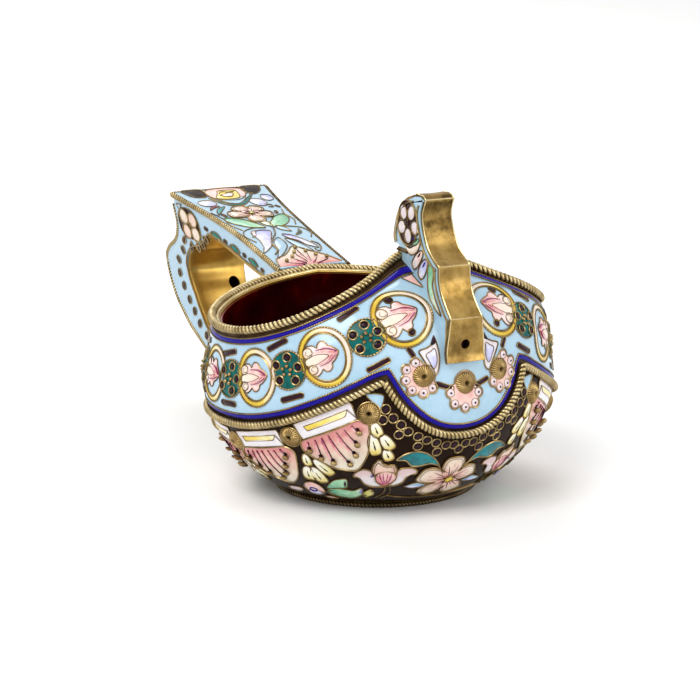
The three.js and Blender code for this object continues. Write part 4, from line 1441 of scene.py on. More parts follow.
@dataclass
class Handle:
    """The hollow box handle: two side panels, a top plate, a lining round the finger loop."""

    wall: Wall
    shop: Workshop
    reach: float = 56.5
    rise: float = 8.7
    tip_half: float = 11.24
    neck_half: float = 7.9
    knee_half: float = 6.6
    arm_half: float = 5.7
    edge_rope: Rope = Rope(0.62, 1.5)
    back_rope: Rope = Rope(0.53, 1.4)
    panel: float = 0.8
    plate: float = 0.6
    skin: float = 0.3
    clearance: float = 0.3
    metal_inset: float = 0.9
    enamel_inset: float = 0.45
    enamel_hem: float = 0.82
    rim_lap: float = 1.25
    end_lap: float = 0.5
    tip_share: float = 0.793
    knee_share: float = 0.63
    arm_share: float = 0.43
    vent_radius: float = 1.3
    vent_aside: float = 3.3
    vent_share: float = 0.557
    back_shares: str = (
        ".793,1 .8,.937 .802,.891 .806,.861 .837,.8 .873,.761 .949,.711 1,.652 1,.607 .985,.552 .962,.498 "
        ".93,.446 .88,.4 .826,.357 .755,.317 .61,.246 .43,.21 .25,.203 -.04,.223")
    loop_shares: str = (
        "0,.735 .13,.742 .256,.765 .354,.791 .448,.817 .52,.835 .566,.838 .6,.8 .65,.765 .725,.739 "
        ".772,.696 .8,.637 .784,.583 .757,.535 .722,.467 .667,.398 .57,.345 .43,.311 .25,.302 0,.315")
    top_shares: str = "0,.815 .16,.858 .34,.905 .53,.946 .7,.98 .793,1"
    spread_shares: str = "0,0 .16,0 .34,.07 .53,.33 .7,.74 .793,1"

    @cached_property
    def height(self) -> float:
        """Height of the tip."""
        return float(self.wall.rim(math.pi)) + self.rise

    @cached_property
    def root(self) -> float:
        """Where the wall's back meets the rim."""
        return -self.wall.rear_reach * float(self.wall.share(self.wall.rim(math.pi)))

    @property
    def tip(self) -> float:
        """Where the top plate ends."""
        return self.root - self.tip_share * self.reach

    def side_line(self, shares: str) -> Points:
        """A smooth line in side view, as points (x, z)."""
        return smooth_line(table(shares) * (-self.reach, self.height) + (self.root, 0), 400)

    def top(self, x: Points) -> Points:
        """Height of the top plate."""
        return self.height * through_points(self.top_shares)((self.root - x) / self.reach)

    def spread(self, x: Points) -> Points:
        """Half the top plate's width: it flares to the tip."""
        share = through_points(self.spread_shares)((self.root - x) / self.reach)
        return self.neck_half + (self.tip_half - self.neck_half) * share

    def width(self, x: Points, z: Points) -> Points:
        """Half the handle's width: it leans in from the plate to the knee, then to the arm.

        Args:
            x: place along the handle.
            z: height.

        Returns:
            Half the width there.
        """
        knee, arm = self.height * self.knee_share, self.height * self.arm_share
        upper = np.clip((z - knee) / (self.top(x) - knee), 0, 1)
        lower = np.clip((z - arm) / (knee - arm), 0, 1)
        return np.where(z > knee, self.knee_half + (self.spread(x) - self.knee_half) * upper,
                        self.arm_half + (self.knee_half - self.arm_half) * lower)

    def outside(self, line: Points, gap: float, aside: Points | float | None = None) -> Points:
        """The part of a side-view line that stays clear of the bowl's back wall.

        Args:
            line: points (x, z).
            gap: the least distance from the wall.
            aside: how far from the middle; half the handle's width where it isn't given.

        Returns:
            The points that are kept.
        """
        aside = self.width(*line.T) if aside is None else aside
        height = np.minimum(line[:, 1], self.wall.rim(math.pi))
        return line[line[:, 0] < self.wall.along(-1, height, aside, 0.0) - gap]

    def panel_edges(self, inset: float, hem: float) -> tuple[Points, Points]:
        """The outer and inner edges of a side panel, matched point by point.

        Args:
            inset: from the outline in to the outer edge.
            hem: from the loop's line out to the inner edge.

        Returns:
            Two lines of points (x, z), over the top arm, round the tip and down the back.
        """
        top = moved_aside(self.side_line(self.top_shares), -inset)
        back = moved_aside(self.side_line(self.back_shares), -inset)[8:]
        loop = moved_aside(self.side_line(self.loop_shares), hem)
        top = self.outside(top[top[:, 0] > back[0, 0] + 0.2], -0.2)
        back, loop = self.outside(back, -0.2), self.outside(loop, -0.2)
        turn = np.argmin(np.hypot(*(loop - (self.root - 0.62 * self.reach, 0.79 * self.height)).T))
        return (np.vstack([spaced(top, 50), spaced(back, 90)]),
                np.vstack([spaced(loop[:turn + 1], 50), spaced(loop[turn:], 90)]))

    def side_sheet(self, side: int, depth: float, thick: float, inset: float, hem: float) -> Points:
        """Rings of a side panel between its edges, at a depth inside the handle's width.

        Args:
            side: -1 left, 1 right.
            depth: of its face.
            thick: its thickness.
            inset: from the outline in to its outer edge.
            hem: from the loop's line out to its inner edge.

        Returns:
            Points of shape (rings, around, 3).
        """
        outer, inner = self.panel_edges(inset, hem)
        x, z = np.moveaxis(outer[:, None] + (inner - outer)[:, None] * np.linspace(0, 1, 9)[:, None], -1, 0)
        return sheet_rings(x, side * (self.width(x, z) - depth), z, (0, -side * thick, 0))

    def sides(self) -> None:
        """The two side panels, in metal with a skin of sky enamel."""
        cover = self.skin + self.clearance
        for name, side in SIDES:
            self.shop.swept(self.side_sheet(side, cover, self.panel, self.metal_inset, self.metal_inset),
                            "handle_silver_side_" + name, PLAIN, "handle_panel_" + name, tone=0.2)
            self.shop.swept(self.side_sheet(side, 0.0, self.skin, self.enamel_inset, self.enamel_hem),
                            "handle_sky_side_" + name, SKY, "handle_enamel_" + name, tone=0.2)

    def top_sheet(self, low: float, thick: float, inset: float) -> Points:
        """Rings of a sheet along the handle's top, cut round where it meets the bowl's rim.

        Args:
            low: its underside's height over the top's line.
            thick: its thickness.
            inset: from the handle's edges.

        Returns:
            Points of shape (rings, around, 3).
        """
        across = np.linspace(-1, 1, 17)
        start = self.wall.along(-1, self.wall.rim(math.pi), across * (self.neck_half - inset), 0.0)
        start -= self.rim_lap
        x = start + (self.tip + self.end_lap - start) * np.linspace(0, 1, 60)[:, None]
        return sheet_rings(x, (self.spread(x) - inset) * across, self.top(x) + low + thick, (0, 0, -thick))

    def top_sheets(self) -> None:
        """The top plate and the sky enamel on it."""
        self.shop.swept(self.top_sheet(-self.plate - self.clearance / 2, self.plate, self.metal_inset),
                        "handle_silver_top", PLAIN, "handle_top_plate", tone=0.2)
        self.shop.swept(self.top_sheet(self.clearance / 2, self.skin, self.enamel_inset),
                        "handle_sky_top", SKY, "handle_top_enamel", tone=0.2)

    def strips(self) -> None:
        """The gilt lining round the loop, with its vent, and the strip down the back."""
        loop = self.outside(self.side_line(self.loop_shares), -0.1, 0.0)
        rings = strip_rings(loop, self.panel, self.width(*loop.T) - 0.02, 12)
        # painted shade: the lining darkens towards both edges, in the corners where it meets the side panels
        across = np.abs(rings[..., 1]) / np.abs(rings[..., 1]).max()
        lining = self.shop.swept(rings, "handle_loop_lining", PLAIN, "handle_lining", tone=0.35 * across**6)
        far = loop[loop[:, 0] < self.root - self.reach / 2]
        height = self.vent_share * self.height
        place = far[np.argmin(np.abs(far[:, 1] - height))]
        drilled(lining, place[0], self.vent_aside, height, self.vent_radius)
        back = self.outside(self.side_line(self.back_shares), -0.1, 0.0)[6:]
        self.shop.swept(strip_rings(back, -self.panel, self.width(*back.T) - 0.5, 10, 0.15),
                        "handle_gilt_back", BRUSHED, "handle_back_strip", tone=0.1)

    def ropes(self) -> None:
        """Twisted wire along the top's long edges, the back's edges and the tip."""
        top, back = self.side_line(self.top_shares), self.side_line(self.back_shares)
        top = self.outside(top, 0.9, self.spread(top[:, 0]))
        back = self.outside(back, 0.4)[10:]
        for name, side in SIDES:
            # painted shade: the right-hand top rope takes the shaded copy of the gilt rope, the left one the
            # bright rope
            self.shop.laid(self.edge_rope, stacked(top[:, 0], side * self.spread(top[:, 0]), top[:, 1]),
                           (0, 0, 1), "handle_top_rope_" + name, ROPE if side < 0 else DARK_ROPE,
                           "handle_top_wire_" + name)
            edge = stacked(back[:, 0], side * (self.width(*back.T) - 0.2), back[:, 1])
            self.shop.laid(self.back_rope, edge, (0, side, 0), "handle_back_rope_" + name, ROPE,
                           "handle_back_wire_" + name)
        reach = self.tip_half - 0.2
        # painted shade: the rope across the tip takes the shaded copy of the gilt rope
        self.shop.laid(self.edge_rope, stacked(self.tip, np.linspace(-reach, reach, 40), self.height),
                       (0, 0, 1), "handle_end_rope", DARK_ROPE, "handle_end_wire")

    def build(self) -> None:
        """Makes all of the handle's plain forms."""
        self.sides()
        self.top_sheets()
        self.strips()
        self.ropes()


@dataclass
class Prow:
    """The hollow fin on the prow: a bent gilt strip, a strip behind and two enamelled flanks."""

    wall: Wall
    shop: Workshop
    band_middle: float
    rise: float = 13.17
    tab_fall: float = 7.3
    rear_rise: float = 2.25
    half: float = 3.4
    strip: float = 0.9
    skin: float = 0.3
    proud: float = 0.02
    enamel_inset: float = 0.55
    cover: float = 0.6
    plate: float = 0.8
    plate_inset: float = 0.7
    vent_radius: float = 0.92
    vent_rise: float = 3.2
    foot_share: float = 0.085
    strip_shares: str = (
        "1.006,0 .992,.044 .992,.168 .994,.277 .933,.345 .889,.407 .858,.48 .849,.578 .784,.617 .72,.674 "
        ".683,.738 .653,.813 .643,.871 .673,.969 .629,.996 .562,.99")
    rear_shares: str = ".547,.944 .471,.854 .408,.708 .369,.517 .342,.275 .336,.101 .351,0"
    width_shares: str = "-.04,1.2 .085,1.16 .293,1 .584,.99 1,.9"
    # Painted shade on the front strip at each share of its height: dark in the scoops, light below the
    # ridges.
    strip_painted_shade: str = "0,0 .3,.02 .56,.3 .6,.14 .72,.28 .84,.78 .95,.7 1,.5"
    ridges: tuple[int, ...] = (3, 7, 13)
    edge: float = 0.13

    @cached_property
    def tab(self) -> float:
        """Height of the strip's lower edge."""
        return self.band_middle - self.tab_fall

    @cached_property
    def crest(self) -> float:
        """Height of the fin's top."""
        return float(self.wall.rim(0.0)) + self.rise

    @cached_property
    def foot(self) -> float:
        """Height where the rear strip ends, a little above the rim."""
        return float(self.wall.rim(0.0)) + self.rear_rise

    def placed(self, shares: str, low: float) -> Points:
        """Side-view corners from shares of the front's reach and of the height from low to the crest."""
        return table(shares) * (self.wall.front_reach, self.crest - low) + (0, low)

    @cached_property
    def front_line(self) -> Points:
        """The strip in side view: smooth scoops that meet in ridges, from the tab up.

        Returns:
            Points (x, z).
        """
        corners = self.placed(self.strip_shares, self.tab)
        cuts = (0, *self.ridges, len(corners) - 1)
        runs = [smooth_line(corners[a:b + 1], 40) for a, b in zip(cuts[:-1], cuts[1:])]
        return np.vstack([runs[0], *(run[1:] for run in runs[1:])])

    @cached_property
    def rear_line(self) -> Points:
        """The strip behind, in side view, from the top down."""
        return smooth_line(self.placed(self.rear_shares, self.foot), 60)

    def at_height(self, shares: str, z: Points) -> Points:
        """A table's value at a height, as a share of the way from the tab to the crest."""
        return through_points(shares)((z - self.tab) / (self.crest - self.tab))

    def strips(self) -> None:
        """The front strip, drilled at the tab, and the rear one."""
        line = self.front_line
        wide = self.half * self.at_height(self.width_shares, line[:, 1])
        # painted shade by height from the table, lightened by 3 times the turn of the line as a painted
        # highlight on the ridges
        turn = np.abs(np.gradient(np.unwrap(np.arctan2(*np.gradient(line, axis=0).T))))
        dark = np.clip(self.at_height(self.strip_painted_shade, line[:, 1]) - 3 * turn, 0, 1)
        front = self.shop.swept(strip_rings(line, -self.strip, wide, 12, 0.1), "prow_gilt_strip", BRUSHED,
                                "prow_strip", tone=dark[:, None], sharp=16.0)
        height = self.tab + self.vent_rise
        place = line[np.argmin(np.abs(line[:100, 1] - height))]
        drilled(front, place[0], 0.0, height, self.vent_radius)
        self.shop.swept(strip_rings(self.rear_line, -self.strip, np.full(60, self.half), 8),
                        "prow_gilt_rear", BRUSHED, "prow_rear_strip", tone=0.2)

    def flank_grid(self, inset: float) -> Points:
        """Side-view points between the front strip and the rear strip or wall, top to bottom.

        Args:
            inset: from the strips' faces.

        Returns:
            Points (x, z) of shape (90, 13, 2).
        """
        low = self.tab + self.foot_share * (self.crest - self.tab)
        front = moved_aside(self.front_line, -inset)[::-1]
        front = front[front[:, 1] > low]
        rear = moved_aside(self.rear_line, -inset)
        z = np.linspace(rear[-1, 1] - 0.3, low, 40)
        x = self.wall.along(1, np.minimum(z, self.wall.rim(0.0)), self.half, -0.35)
        rear = np.vstack([rear, np.stack([np.maximum(x, np.minimum(rear[-1, 0], x + 9)), z], 1)])
        front, rear = spaced(front, 90), spaced(rear, 90)
        front[:, 0] = np.maximum(front[:, 0], rear[:, 0] + 0.02)
        return front[:, None] + (rear - front)[:, None] * np.linspace(0, 1, 13)[:, None]

    def flanks(self) -> None:
        """The two flanks: silver plates with sky enamel."""
        for name, side in SIDES:
            for kind, finish, depth, thick, inset, node in (
                    ("silver", PLAIN, self.cover, self.plate, self.plate_inset, "plate"),
                    ("sky", SKY, -self.proud, self.skin + self.proud, self.enamel_inset, "enamel")):
                x, z = np.moveaxis(self.flank_grid(inset), -1, 0)
                self.shop.swept(sheet_rings(x, side * (self.half - depth), z, (0, -side * thick, 0)),
                                f"prow_{kind}_flank_{name}", finish, f"prow_{node}_{name}", tone=0.3)

    def polished_edges(self) -> None:
        """Painted highlights: bright gilt tubes along both edges of the strip, and along its creases between
        the scoops.
        """
        sheaf = Sheaf()
        x, z = self.front_line.T
        wide = self.half * self.at_height(self.width_shares, z)
        out = stacked(np.gradient(z), 0, -np.gradient(x))
        kept = z < self.crest - 2 * self.edge
        for side in (-1, 1):
            path = stacked(x, side * (wide - 0.08), z)
            sheaf.sweep(tube(path[kept][::2], out[kept][::2], self.edge, 5))
        for x, z in self.placed(self.strip_shares, self.tab)[list(self.ridges)]:
            reach = self.half * self.at_height(self.width_shares, z)
            sheaf.sweep(tube(stacked(x, np.linspace(-reach, reach, 5), z), (1, 0, 0.4), self.edge, 5))
        self.shop.piece(sheaf, "prow_polished_edges", ROPE)

    def build(self) -> None:
        """Makes the fin's plain forms."""
        self.strips()
        self.polished_edges()
        self.flanks()


# A heart that points to the prow, with two side lobes and two scrolls at its tail.
PALMETTE = (
    Cell(ROSE, "3,.15 2.2,1.3 1.3,2.1 .9,2.9 .1,3.2 -.6,2.8 -.9,2.2 -1.6,2.9 -2.6,3.1 -3.7,2.7 -4.1,1.9 "
         "-3.9,1 -4.1,.1 -3.9,-.8 -4.1,-1.5 -3.6,-2.4 -2.7,-3 -1.7,-2.6 -1.1,-2.1 -.7,-2.7 0,-2.9 .8,-2.4 "
         "1,-1.7 1.9,-1.2 2.6,-.5", (0, 0.74), 0, (-1.2, 0.1), height=0.3),
    Cell(CREAM, "-3.9,.55 -1.5,1 1,.05 -1.6,-.75 -3.9,-.35", (0, 0.5), 0, lift=0.2, wire=0.08),
    Ribbon(ROSE, "-2.1,1.55 .3,1.25 2.6,.25", 0.6, (0.35, 0.85), 0.6, 0.24),
    Ribbon(ROSE, "-2.3,-.95 0,-.75 1.7,0", 0.55, (0.35, 0.8), 0.6, 0.24),
    Ribbon(MAGENTA, "-1.3,1.9 1,1.5 2.7,.35", 0.2, (0.5, 0.8), 0.6, 0.36, 0.03),
    Ribbon(MAGENTA, "-1.5,-1.35 .6,-1.15 2.4,-.25", 0.18, (0.5, 0.8), 0.6, 0.36, 0.03),
    Disc(CREAM, -2.95, 1.85, 1, tone=0.3, wire=0.1, lift=0.16),
    Disc(CREAM, -2.95, -1.5, 0.92, tone=0.3, wire=0.1, lift=0.16),
    Thread("-2.2,1.4 -2.9,1.3 -3.4,1.8 -3,2.3", 0.06, lift=0.26),
    Thread("-2.3,-1.1 -2.9,-1 -3.3,-1.5 -2.9,-2", 0.06, lift=0.26))


@dataclass
class BandWork:
    """The frieze in the sky band: ringed palmettes and teal rosettes in turn, with bars beside."""

    bowl: Bowl
    shop: Workshop
    degrees: tuple[float, ...] = (20.5, 33.0, 46.6, 58.8, 70.9, 82.4, 93.6, 105.0, 116.0, 127.3,
                                  138.5, 149.8)
    raised: tuple[float, ...] = (1.7, 0.6, 0.4, 0.4, 0.2, *(0.0,) * 7)
    reaches: tuple[Pair, ...] = ((5.8, 6.2), (5.05, 5.75), (4.75, 5.5))
    lean_of_first: float = 9.0
    drawn_reach: float = 5.3
    ring: float = 0.9
    pools: str = "-2.1,1.5 .6,2.35 2.2,.1 1.1,-2.15 -2.1,-1.4"
    rosette_radius: float = 3.6
    bar_length: float = 4.8
    bar_width: float = 1.05

    def spot(self, index: int, side: int) -> tuple[WallSpot, float]:
        """Ground of an ornament, turned with the band's slope, and the sky's width there.

        Args:
            index: of the ornament, from the prow.
            side: -1 left, 1 right.

        Returns:
            The ground and the width.
        """
        degrees, wall = self.degrees[index], self.bowl.wall
        angle = math.radians(degrees)
        height = self.bowl.band_middle(angle) + self.raised[index]
        turn = wall.slope(self.bowl.band_middle, degrees, height, 1.0)
        width = (self.bowl.low_cobalt(angle) - wall.band(angle) - self.bowl.border_far) * math.hypot(
            1, wall.lean(height))
        return WallSpot(wall, side, degrees, height, turn), width

    def roundel(self, pen: Ornament, index: int) -> None:
        """A milled ring round a yellow and cream one, with a palmette that points to the prow.

        The enamel between the rings swells across as 0.22 (1 - (2 s - 1)^2).

        Args:
            pen: over its place.
            index: of the roundel, from the prow.
        """
        reach, tall = self.reaches[min(index, len(self.reaches) - 1)]
        unit = circle(0, 0, 1, 40)
        outer, inner = (unit * (reach - d, tall - d) for d in (0.1, 0.1 + self.ring))
        s = np.linspace(0, 1, 5)
        share = np.append(s, s[::-1])[:, None]
        lift = np.append(pen.step + 0.22 * (1 - (2 * s - 1)**2), np.full(5, -pen.sink))
        tone = np.clip(0.55 - 0.75 * turned(unit, -math.degrees(0.35))[:, :1], 0, 1)
        pen.sweep(RING, outer[:, None] + (inner - outer)[:, None] * share, lift, tone, joined=True)
        pen.line(outer * 1.02, RING_WIRE, 0.2, joined=True, milled=True)
        pen.line(inner, WIRE, 0.14, joined=True)
        pen.line(inner * 0.945, RING_WIRE, 0.09, joined=True)
        if index == 0:
            pen.draw((Disc(AUBERGINE, -1.1, 4.2, 0.85), Disc(AUBERGINE, 0.6, -3.6, 0.72)))
            pen = pen.at(replace(pen.ground, turn=pen.ground.turn + self.lean_of_first))
        pen.draw(PALMETTE, (reach / self.drawn_reach, reach / self.drawn_reach))

    def rosette(self, pen: Ornament, width: float) -> None:
        """A domed teal disc with five ringed pools and five granules round its middle, between two bars.

        Args:
            pen: over its place.
            width: of the sky there.
        """
        edge = circle(0, 0, self.rosette_radius, 40)
        t = np.linspace(0, FULL, 40, endpoint=False)
        pen.fill(edge, TEAL, 0.34, tone=0.6 + 0.3 * np.cos(5 * (t - 0.6)), rings=5)
        pen.line(edge, RING_WIRE, 0.2, joined=True, milled=True)
        for x, y in table(self.pools):
            pen.draw((Disc(AUBERGINE, x, y, 0.7, wire=0, lift=0.22),
                      Thread(circle(x, y, 0.86, 18), 0.15, RING_WIRE, 0.24, joined=True)))
            pen.up(0.2).grain(0.36 * x, 0.36 * y, 0.42)
        for y, x, turn in ((1, -1.1, 11.0), (-1, -0.5, -1.0)):
            outline = bar(x, y * (width / 2 - 1.9), self.bar_length, self.bar_width, turn)
            pen.draw((Cell(AUBERGINE, outline, (0.3, 0.3)),))

    def build(self) -> None:
        """Both sides, as pieces by finish."""
        for name, side in SIDES:
            sheaves: dict[Finish, Sheaf] = {}
            for i in range(len(self.degrees)):
                spot, width = self.spot(i, side)
                if i % 2:
                    self.rosette(Ornament(spot, sheaves, 0.05), width)
                else:
                    self.roundel(Ornament(spot, sheaves), i // 2)
            self.shop.pieces(sheaves, f"band_{name}", RING=f"band_frieze_{name}")


# Each coil over its scalloped shell: the coil's middle, then the shell's white lobes.
LOBE_SHELLS = (
    "-8,-.7 -9.4,1.8 -11.1,.6 -11.3,-1.4 -10.3,-3.2 -8.2,-3.8 -6.4,-3",
    ".4,-2.6 -2.8,-4.2 -2.1,-6.3 .1,-7.1 2.2,-6.5 3.1,-4.6",
    "8.5,-1 9.7,1.5 11.7,0 11.7,-2.1 10.4,-4 8.4,-4.4 6.9,-3.2")
# The left half of the lobe: dark bars, the leaf beside the tab, and a corner patch of sky.
LOBE_HALF = (
    Cell(AUBERGINE, bar(-3.9, -2.9, 3.9, 1, -20), (0.4, 0.4)),
    Cell(AUBERGINE, bar(-10.1, 3.8, 2.1, 0.95, -61), (0.4, 0.4)),
    Cell(WHITE, "-5.3,6.6 -5.7,5.4 -6.8,4.6 -8.6,3.9 -8.1,2.8 -7,.9 -5.9,-.8 -5.2,-.2 -4.8,1.6 -4.8,4",
         (0.2, 0.5), 90, (-6.1, 2.6), wire=0.15),
    Cell(LAVENDER, "-5.6,4.4 -6.3,3.9 -7.3,3.3 -6.8,2 -5.9,.6 -5.3,1.8", (0.55, 0.2), 90, lift=0.15,
         wire=0.09),
    Ribbon(AUBERGINE, "-5.2,6.8 -5.5,5.6 -6.2,4.9", 0.8, lift=0.12),
    Cell(SKY, "-18.8,-4 -17,-3.8 -15.6,-4.2 -15.8,-5.4 -16.5,-6.6 -17.8,-5.4", (0.2, 0.6)))
# A pink corner that fills the space between the fin, the rim and the first roundel.
PINK_CORNER = (
    Cell(PINK, "-1.65,.8 .6,1.9 1.8,-2.4", (0.7, 0.3), straight=True),)


@dataclass
class LobeWork:
    """The lobe under the prow: coils on scalloped shells, leaves by the tab, granules at its foot."""

    bowl: Bowl
    shop: Workshop
    height: float = 30.0
    coil_radius: float = 2.05
    lobe_radius: float = 0.78
    scallop: float = 1.05
    spread: float = 26.0
    grains: int = 5
    corner: Pair = (13.0, 45.0)
    # How far up the wall the dark disc sits that paints the shade seen through the fin's vent.
    vent_shade_rise: float = 5.2

    def shell(self, pen: Ornament, middle: Points, lobes: Points) -> None:
        """A pink scalloped crescent with white lobes, each with a dark dot, under a coil of wire.

        Its outline is the farthest that each ray from the coil reaches in a circle round a lobe.

        Args:
            pen: over the lobe.
            middle: of the coil.
            lobes: middles of the white lobes.
        """
        ray = circle(0, 0, 1, 80)
        away = lobes - middle
        along = ray @ away.T
        reach = np.linalg.norm(away, axis=1)
        rest = self.scallop**2 - reach**2 + along**2
        beside = along > reach * math.cos(math.radians(self.spread))
        far = np.where(beside, 0.95 * reach, self.coil_radius + 0.25)
        far = np.where((rest > 0) & (along > 0), along + np.sqrt(np.maximum(rest, 0)), far)
        pen.draw((Cell(PINK, middle + np.max(far, 1)[:, None] * ray, (0.85, 0.3), middle=middle,
                       height=0.16, wire=0.15, wire_finish=RING_WIRE),))
        for x, y in lobes:
            pen.draw((Disc(WHITE, x, y, self.lobe_radius, tone=0.85, wire=0.05, lift=0.1, height=0.22),
                      Disc(AUBERGINE, x, y, 0.23, wire=0, lift=0.3, height=0.04, count=8)))
        pen.up(0.15).coil(self.coil_radius, 0.8, *middle)

    def build(self) -> None:
        """The lobe's pieces, one for each finish."""
        sheaves: dict[Finish, Sheaf] = {}
        wall = self.bowl.wall
        for places in LOBE_SHELLS:
            middle, *lobes = table(places)
            self.shell(Ornament(WallSpot(wall, -1, 0.0, self.height), sheaves), middle, np.array(lobes))
        for _, side in SIDES:
            pen = Ornament(WallSpot(wall, side, 0.0, self.height), sheaves)
            pen.draw(LOBE_HALF)
            pen.at(WallSpot(wall, side, *self.corner)).draw(PINK_CORNER)
            for n in range(self.grains):
                pen.up(0.35).grain(-0.4 - 0.75 * n, 1.9 + 0.2 * n, 0.3, PLAIN)
        # painted shade: a dark disc on the wall behind the fin's vent, seen through the hole
        pen.draw((Disc(AUBERGINE, 0, self.vent_shade_rise, 1.7, wire=0),))
        self.shop.pieces(sheaves, "lobe", COIL="lobe_boss_left lobe_boss_middle lobe_boss_right")


# A pleated shell, rose at its hinge and cream at its rim, and the white bar that it hangs from.
HANGING_SHELL = (
    Cell(SHELL, "-6.4,-.6 -3.5,-.3 0,-.4 3.5,-.3 6.2,-.4 7.5,-1.6 7.3,-2.6 6.2,-4.8 4.7,-7 3,-8.6 "
         "1.2,-9.8 0,-10.2 -1.5,-9.6 -3.4,-8.2 -5.4,-5.4 -6.5,-3.4 -7,-2", (-0.2, 1.15), 90, (0.2, -3.6),
         height=0.12, wire=0.15, wire_finish=RING_WIRE),
    Cell(WHITE, "-6,3.4 6.2,3.4 6.1,-.2 -5.8,-.2", (0, 0.5), 90, straight=True),
    Cell(YELLOW, "-4.2,2.3 5.1,2.3 4.2,1.2 -3.9,1.2", (0, 0.8), 180, lift=0.1, wire=0.08, straight=True),
    Thread("5,2.4 5.6,1.2 6.1,.1", 0.09, lift=0.12))
SHELL_RIBS = ("-5,-1 -5.3,-1.8 -5.6,-3", "-3.4,-1 -3.8,-3 -4.4,-5.3", "-1.9,-1 -2.3,-4 -2.7,-7",
              "-.5,-1 -.4,-4.6 0,-8.4", "1.3,-1 1.6,-4 2.1,-6.9", "2.9,-1 3.2,-3 3.6,-4.9",
              "4.6,-.8 4.9,-1.8 5.2,-2.7")
# Four drops under a coil, in front and farther round: the ends and width of each.
FRONT_FAN = "-1.9,4.1,-.7,1,2.2 -.3,1.5,1.7,-1.8,2.4 -2.2,1.6,-1,-3.1,2.4 .4,-1.8,1.5,-4.4,2.1"
SIDE_FAN = ".2,2.1,.5,-.9,1.9 0,-1,-.3,-5.3,2.6 1.2,-1,2.3,-5.8,2.6 1.8,1,4.8,-2.8,2.4"


@dataclass
class ShellWork:
    """Under the band: pink shells that hang from white bars between coils, and fans of drops."""

    bowl: Bowl
    shop: Workshop
    coils: str = "31.6,4.6 57.6,3.4 84.5,4.1 111,4.1 137,4.1"
    shells: tuple[float, ...] = (44.4, 71.0, 97.8, 124.0)
    top_fall: float = 4.5
    coil_radius: float = 2.0
    front_fan: Pair = (27.0, 17.0)
    fans_ahead: tuple[float, ...] = (3.6, -2.1, -2.1, -2.1)
    rear_fan_size: Pair = (0.8, 0.85)
    fan_fall: float = 5.2
    granule: float = 0.65

    def shell(self, pen: Ornament) -> None:
        """The shell and its bar, with a granule at each rib's end and a dark socket above it.

        Args:
            pen: over its place.
        """
        pen.draw(HANGING_SHELL)
        pen = pen.up(0.22)
        for rib in map(table, SHELL_RIBS):
            near, end = smooth_line(rib, 12)[-2:]
            pen.draw((Ribbon(ROSE, rib - (0.25, 0), 0.75, (0.9, 0.55), 0.4, -0.08, 0.1),
                      Ribbon(AUBERGINE, rib, 0.22, belly=0.6, height=0.05),
                      Disc(AUBERGINE, near[0], end[1] + 0.7, 0.42, wire=0, height=0.04, count=12)))
            pen.grain(*end, self.granule)

    def build(self) -> None:
        """Both sides, as pieces by finish."""
        wall = self.bowl.wall
        for name, side in SIDES:
            sheaves: dict[Finish, Sheaf] = {}
            for degrees in self.shells:
                height = wall.band(math.radians(degrees)) - self.top_fall
                turn = wall.slope(wall.band, degrees, height, 2.0)
                self.shell(Ornament(WallSpot(wall, side, degrees, height, turn), sheaves))
            for n, (degrees, fall) in enumerate(table(self.coils)):
                height = wall.band(math.radians(degrees)) - fall
                pen = Ornament(WallSpot(wall, side, degrees, height), sheaves)
                pen.up(0.1).coil(self.coil_radius, 0.85)
                pen.line(circle(0, 0, self.coil_radius + 0.1, 28), RING_WIRE, 0.15, joined=True)
                if n == 0:
                    pen.at(WallSpot(wall, side, *self.front_fan)).draw(drops(FRONT_FAN))
                    continue
                fan = WallSpot(wall, side, degrees - self.fans_ahead[n - 1], height - self.fan_fall)
                pen.at(fan).draw(drops(SIDE_FAN), (1, 1) if n == 1 else self.rear_fan_size)
            self.shop.pieces(sheaves, f"shells_{name}", SHELL=f"shell_frieze_{name}")


# A turquoise leaf, bent over the ringlets, whose stem runs to the flower.
TEAL_LEAF = (
    Cell(TURQUOISE, "-4.7,.4 -3.6,1.5 -2.2,2.1 -.7,2.2 .7,1.8 2.2,.8 3.4,-.6 3.9,-1.7 3,-1.2 2,-.9 "
         ".9,-1.1 -.5,-1.4 -1.7,-1.2 -2.6,-.1 -3.3,.3", (0.15, 0.6), 0, (-0.3, 0.5), height=0.28,
         wire=0.14, wire_finish=RING_WIRE),
    Thread("3.9,-1.7 4.4,-2.6 4.8,-3.6", 0.16, RING_WIRE))
# The leaf beside the flower, blue at its root.
SIDE_LEAF = (
    Cell(SKY, dart(-3.6, -1.3, -8.3, -1.6, 2, belly=0.4), (1, 0.2), 180),
    Ribbon(LAVENDER, "-4.6,-1.7 -6.4,-1.9 -8,-1.7", 0.7, (0.7, 0.1), lift=0.16))
# A flower: five veined petals round a yellow heart.
FLOWER = (
    *petals(0, 0, "6,4.6,90 6,4.4,18 6.8,4.6,162 6.4,4.4,-60 6.4,4.4,233"),
    Disc(YELLOW, 0.1, -0.2, 0.9, tone=0.85, lift=0.32, wire=0.14))
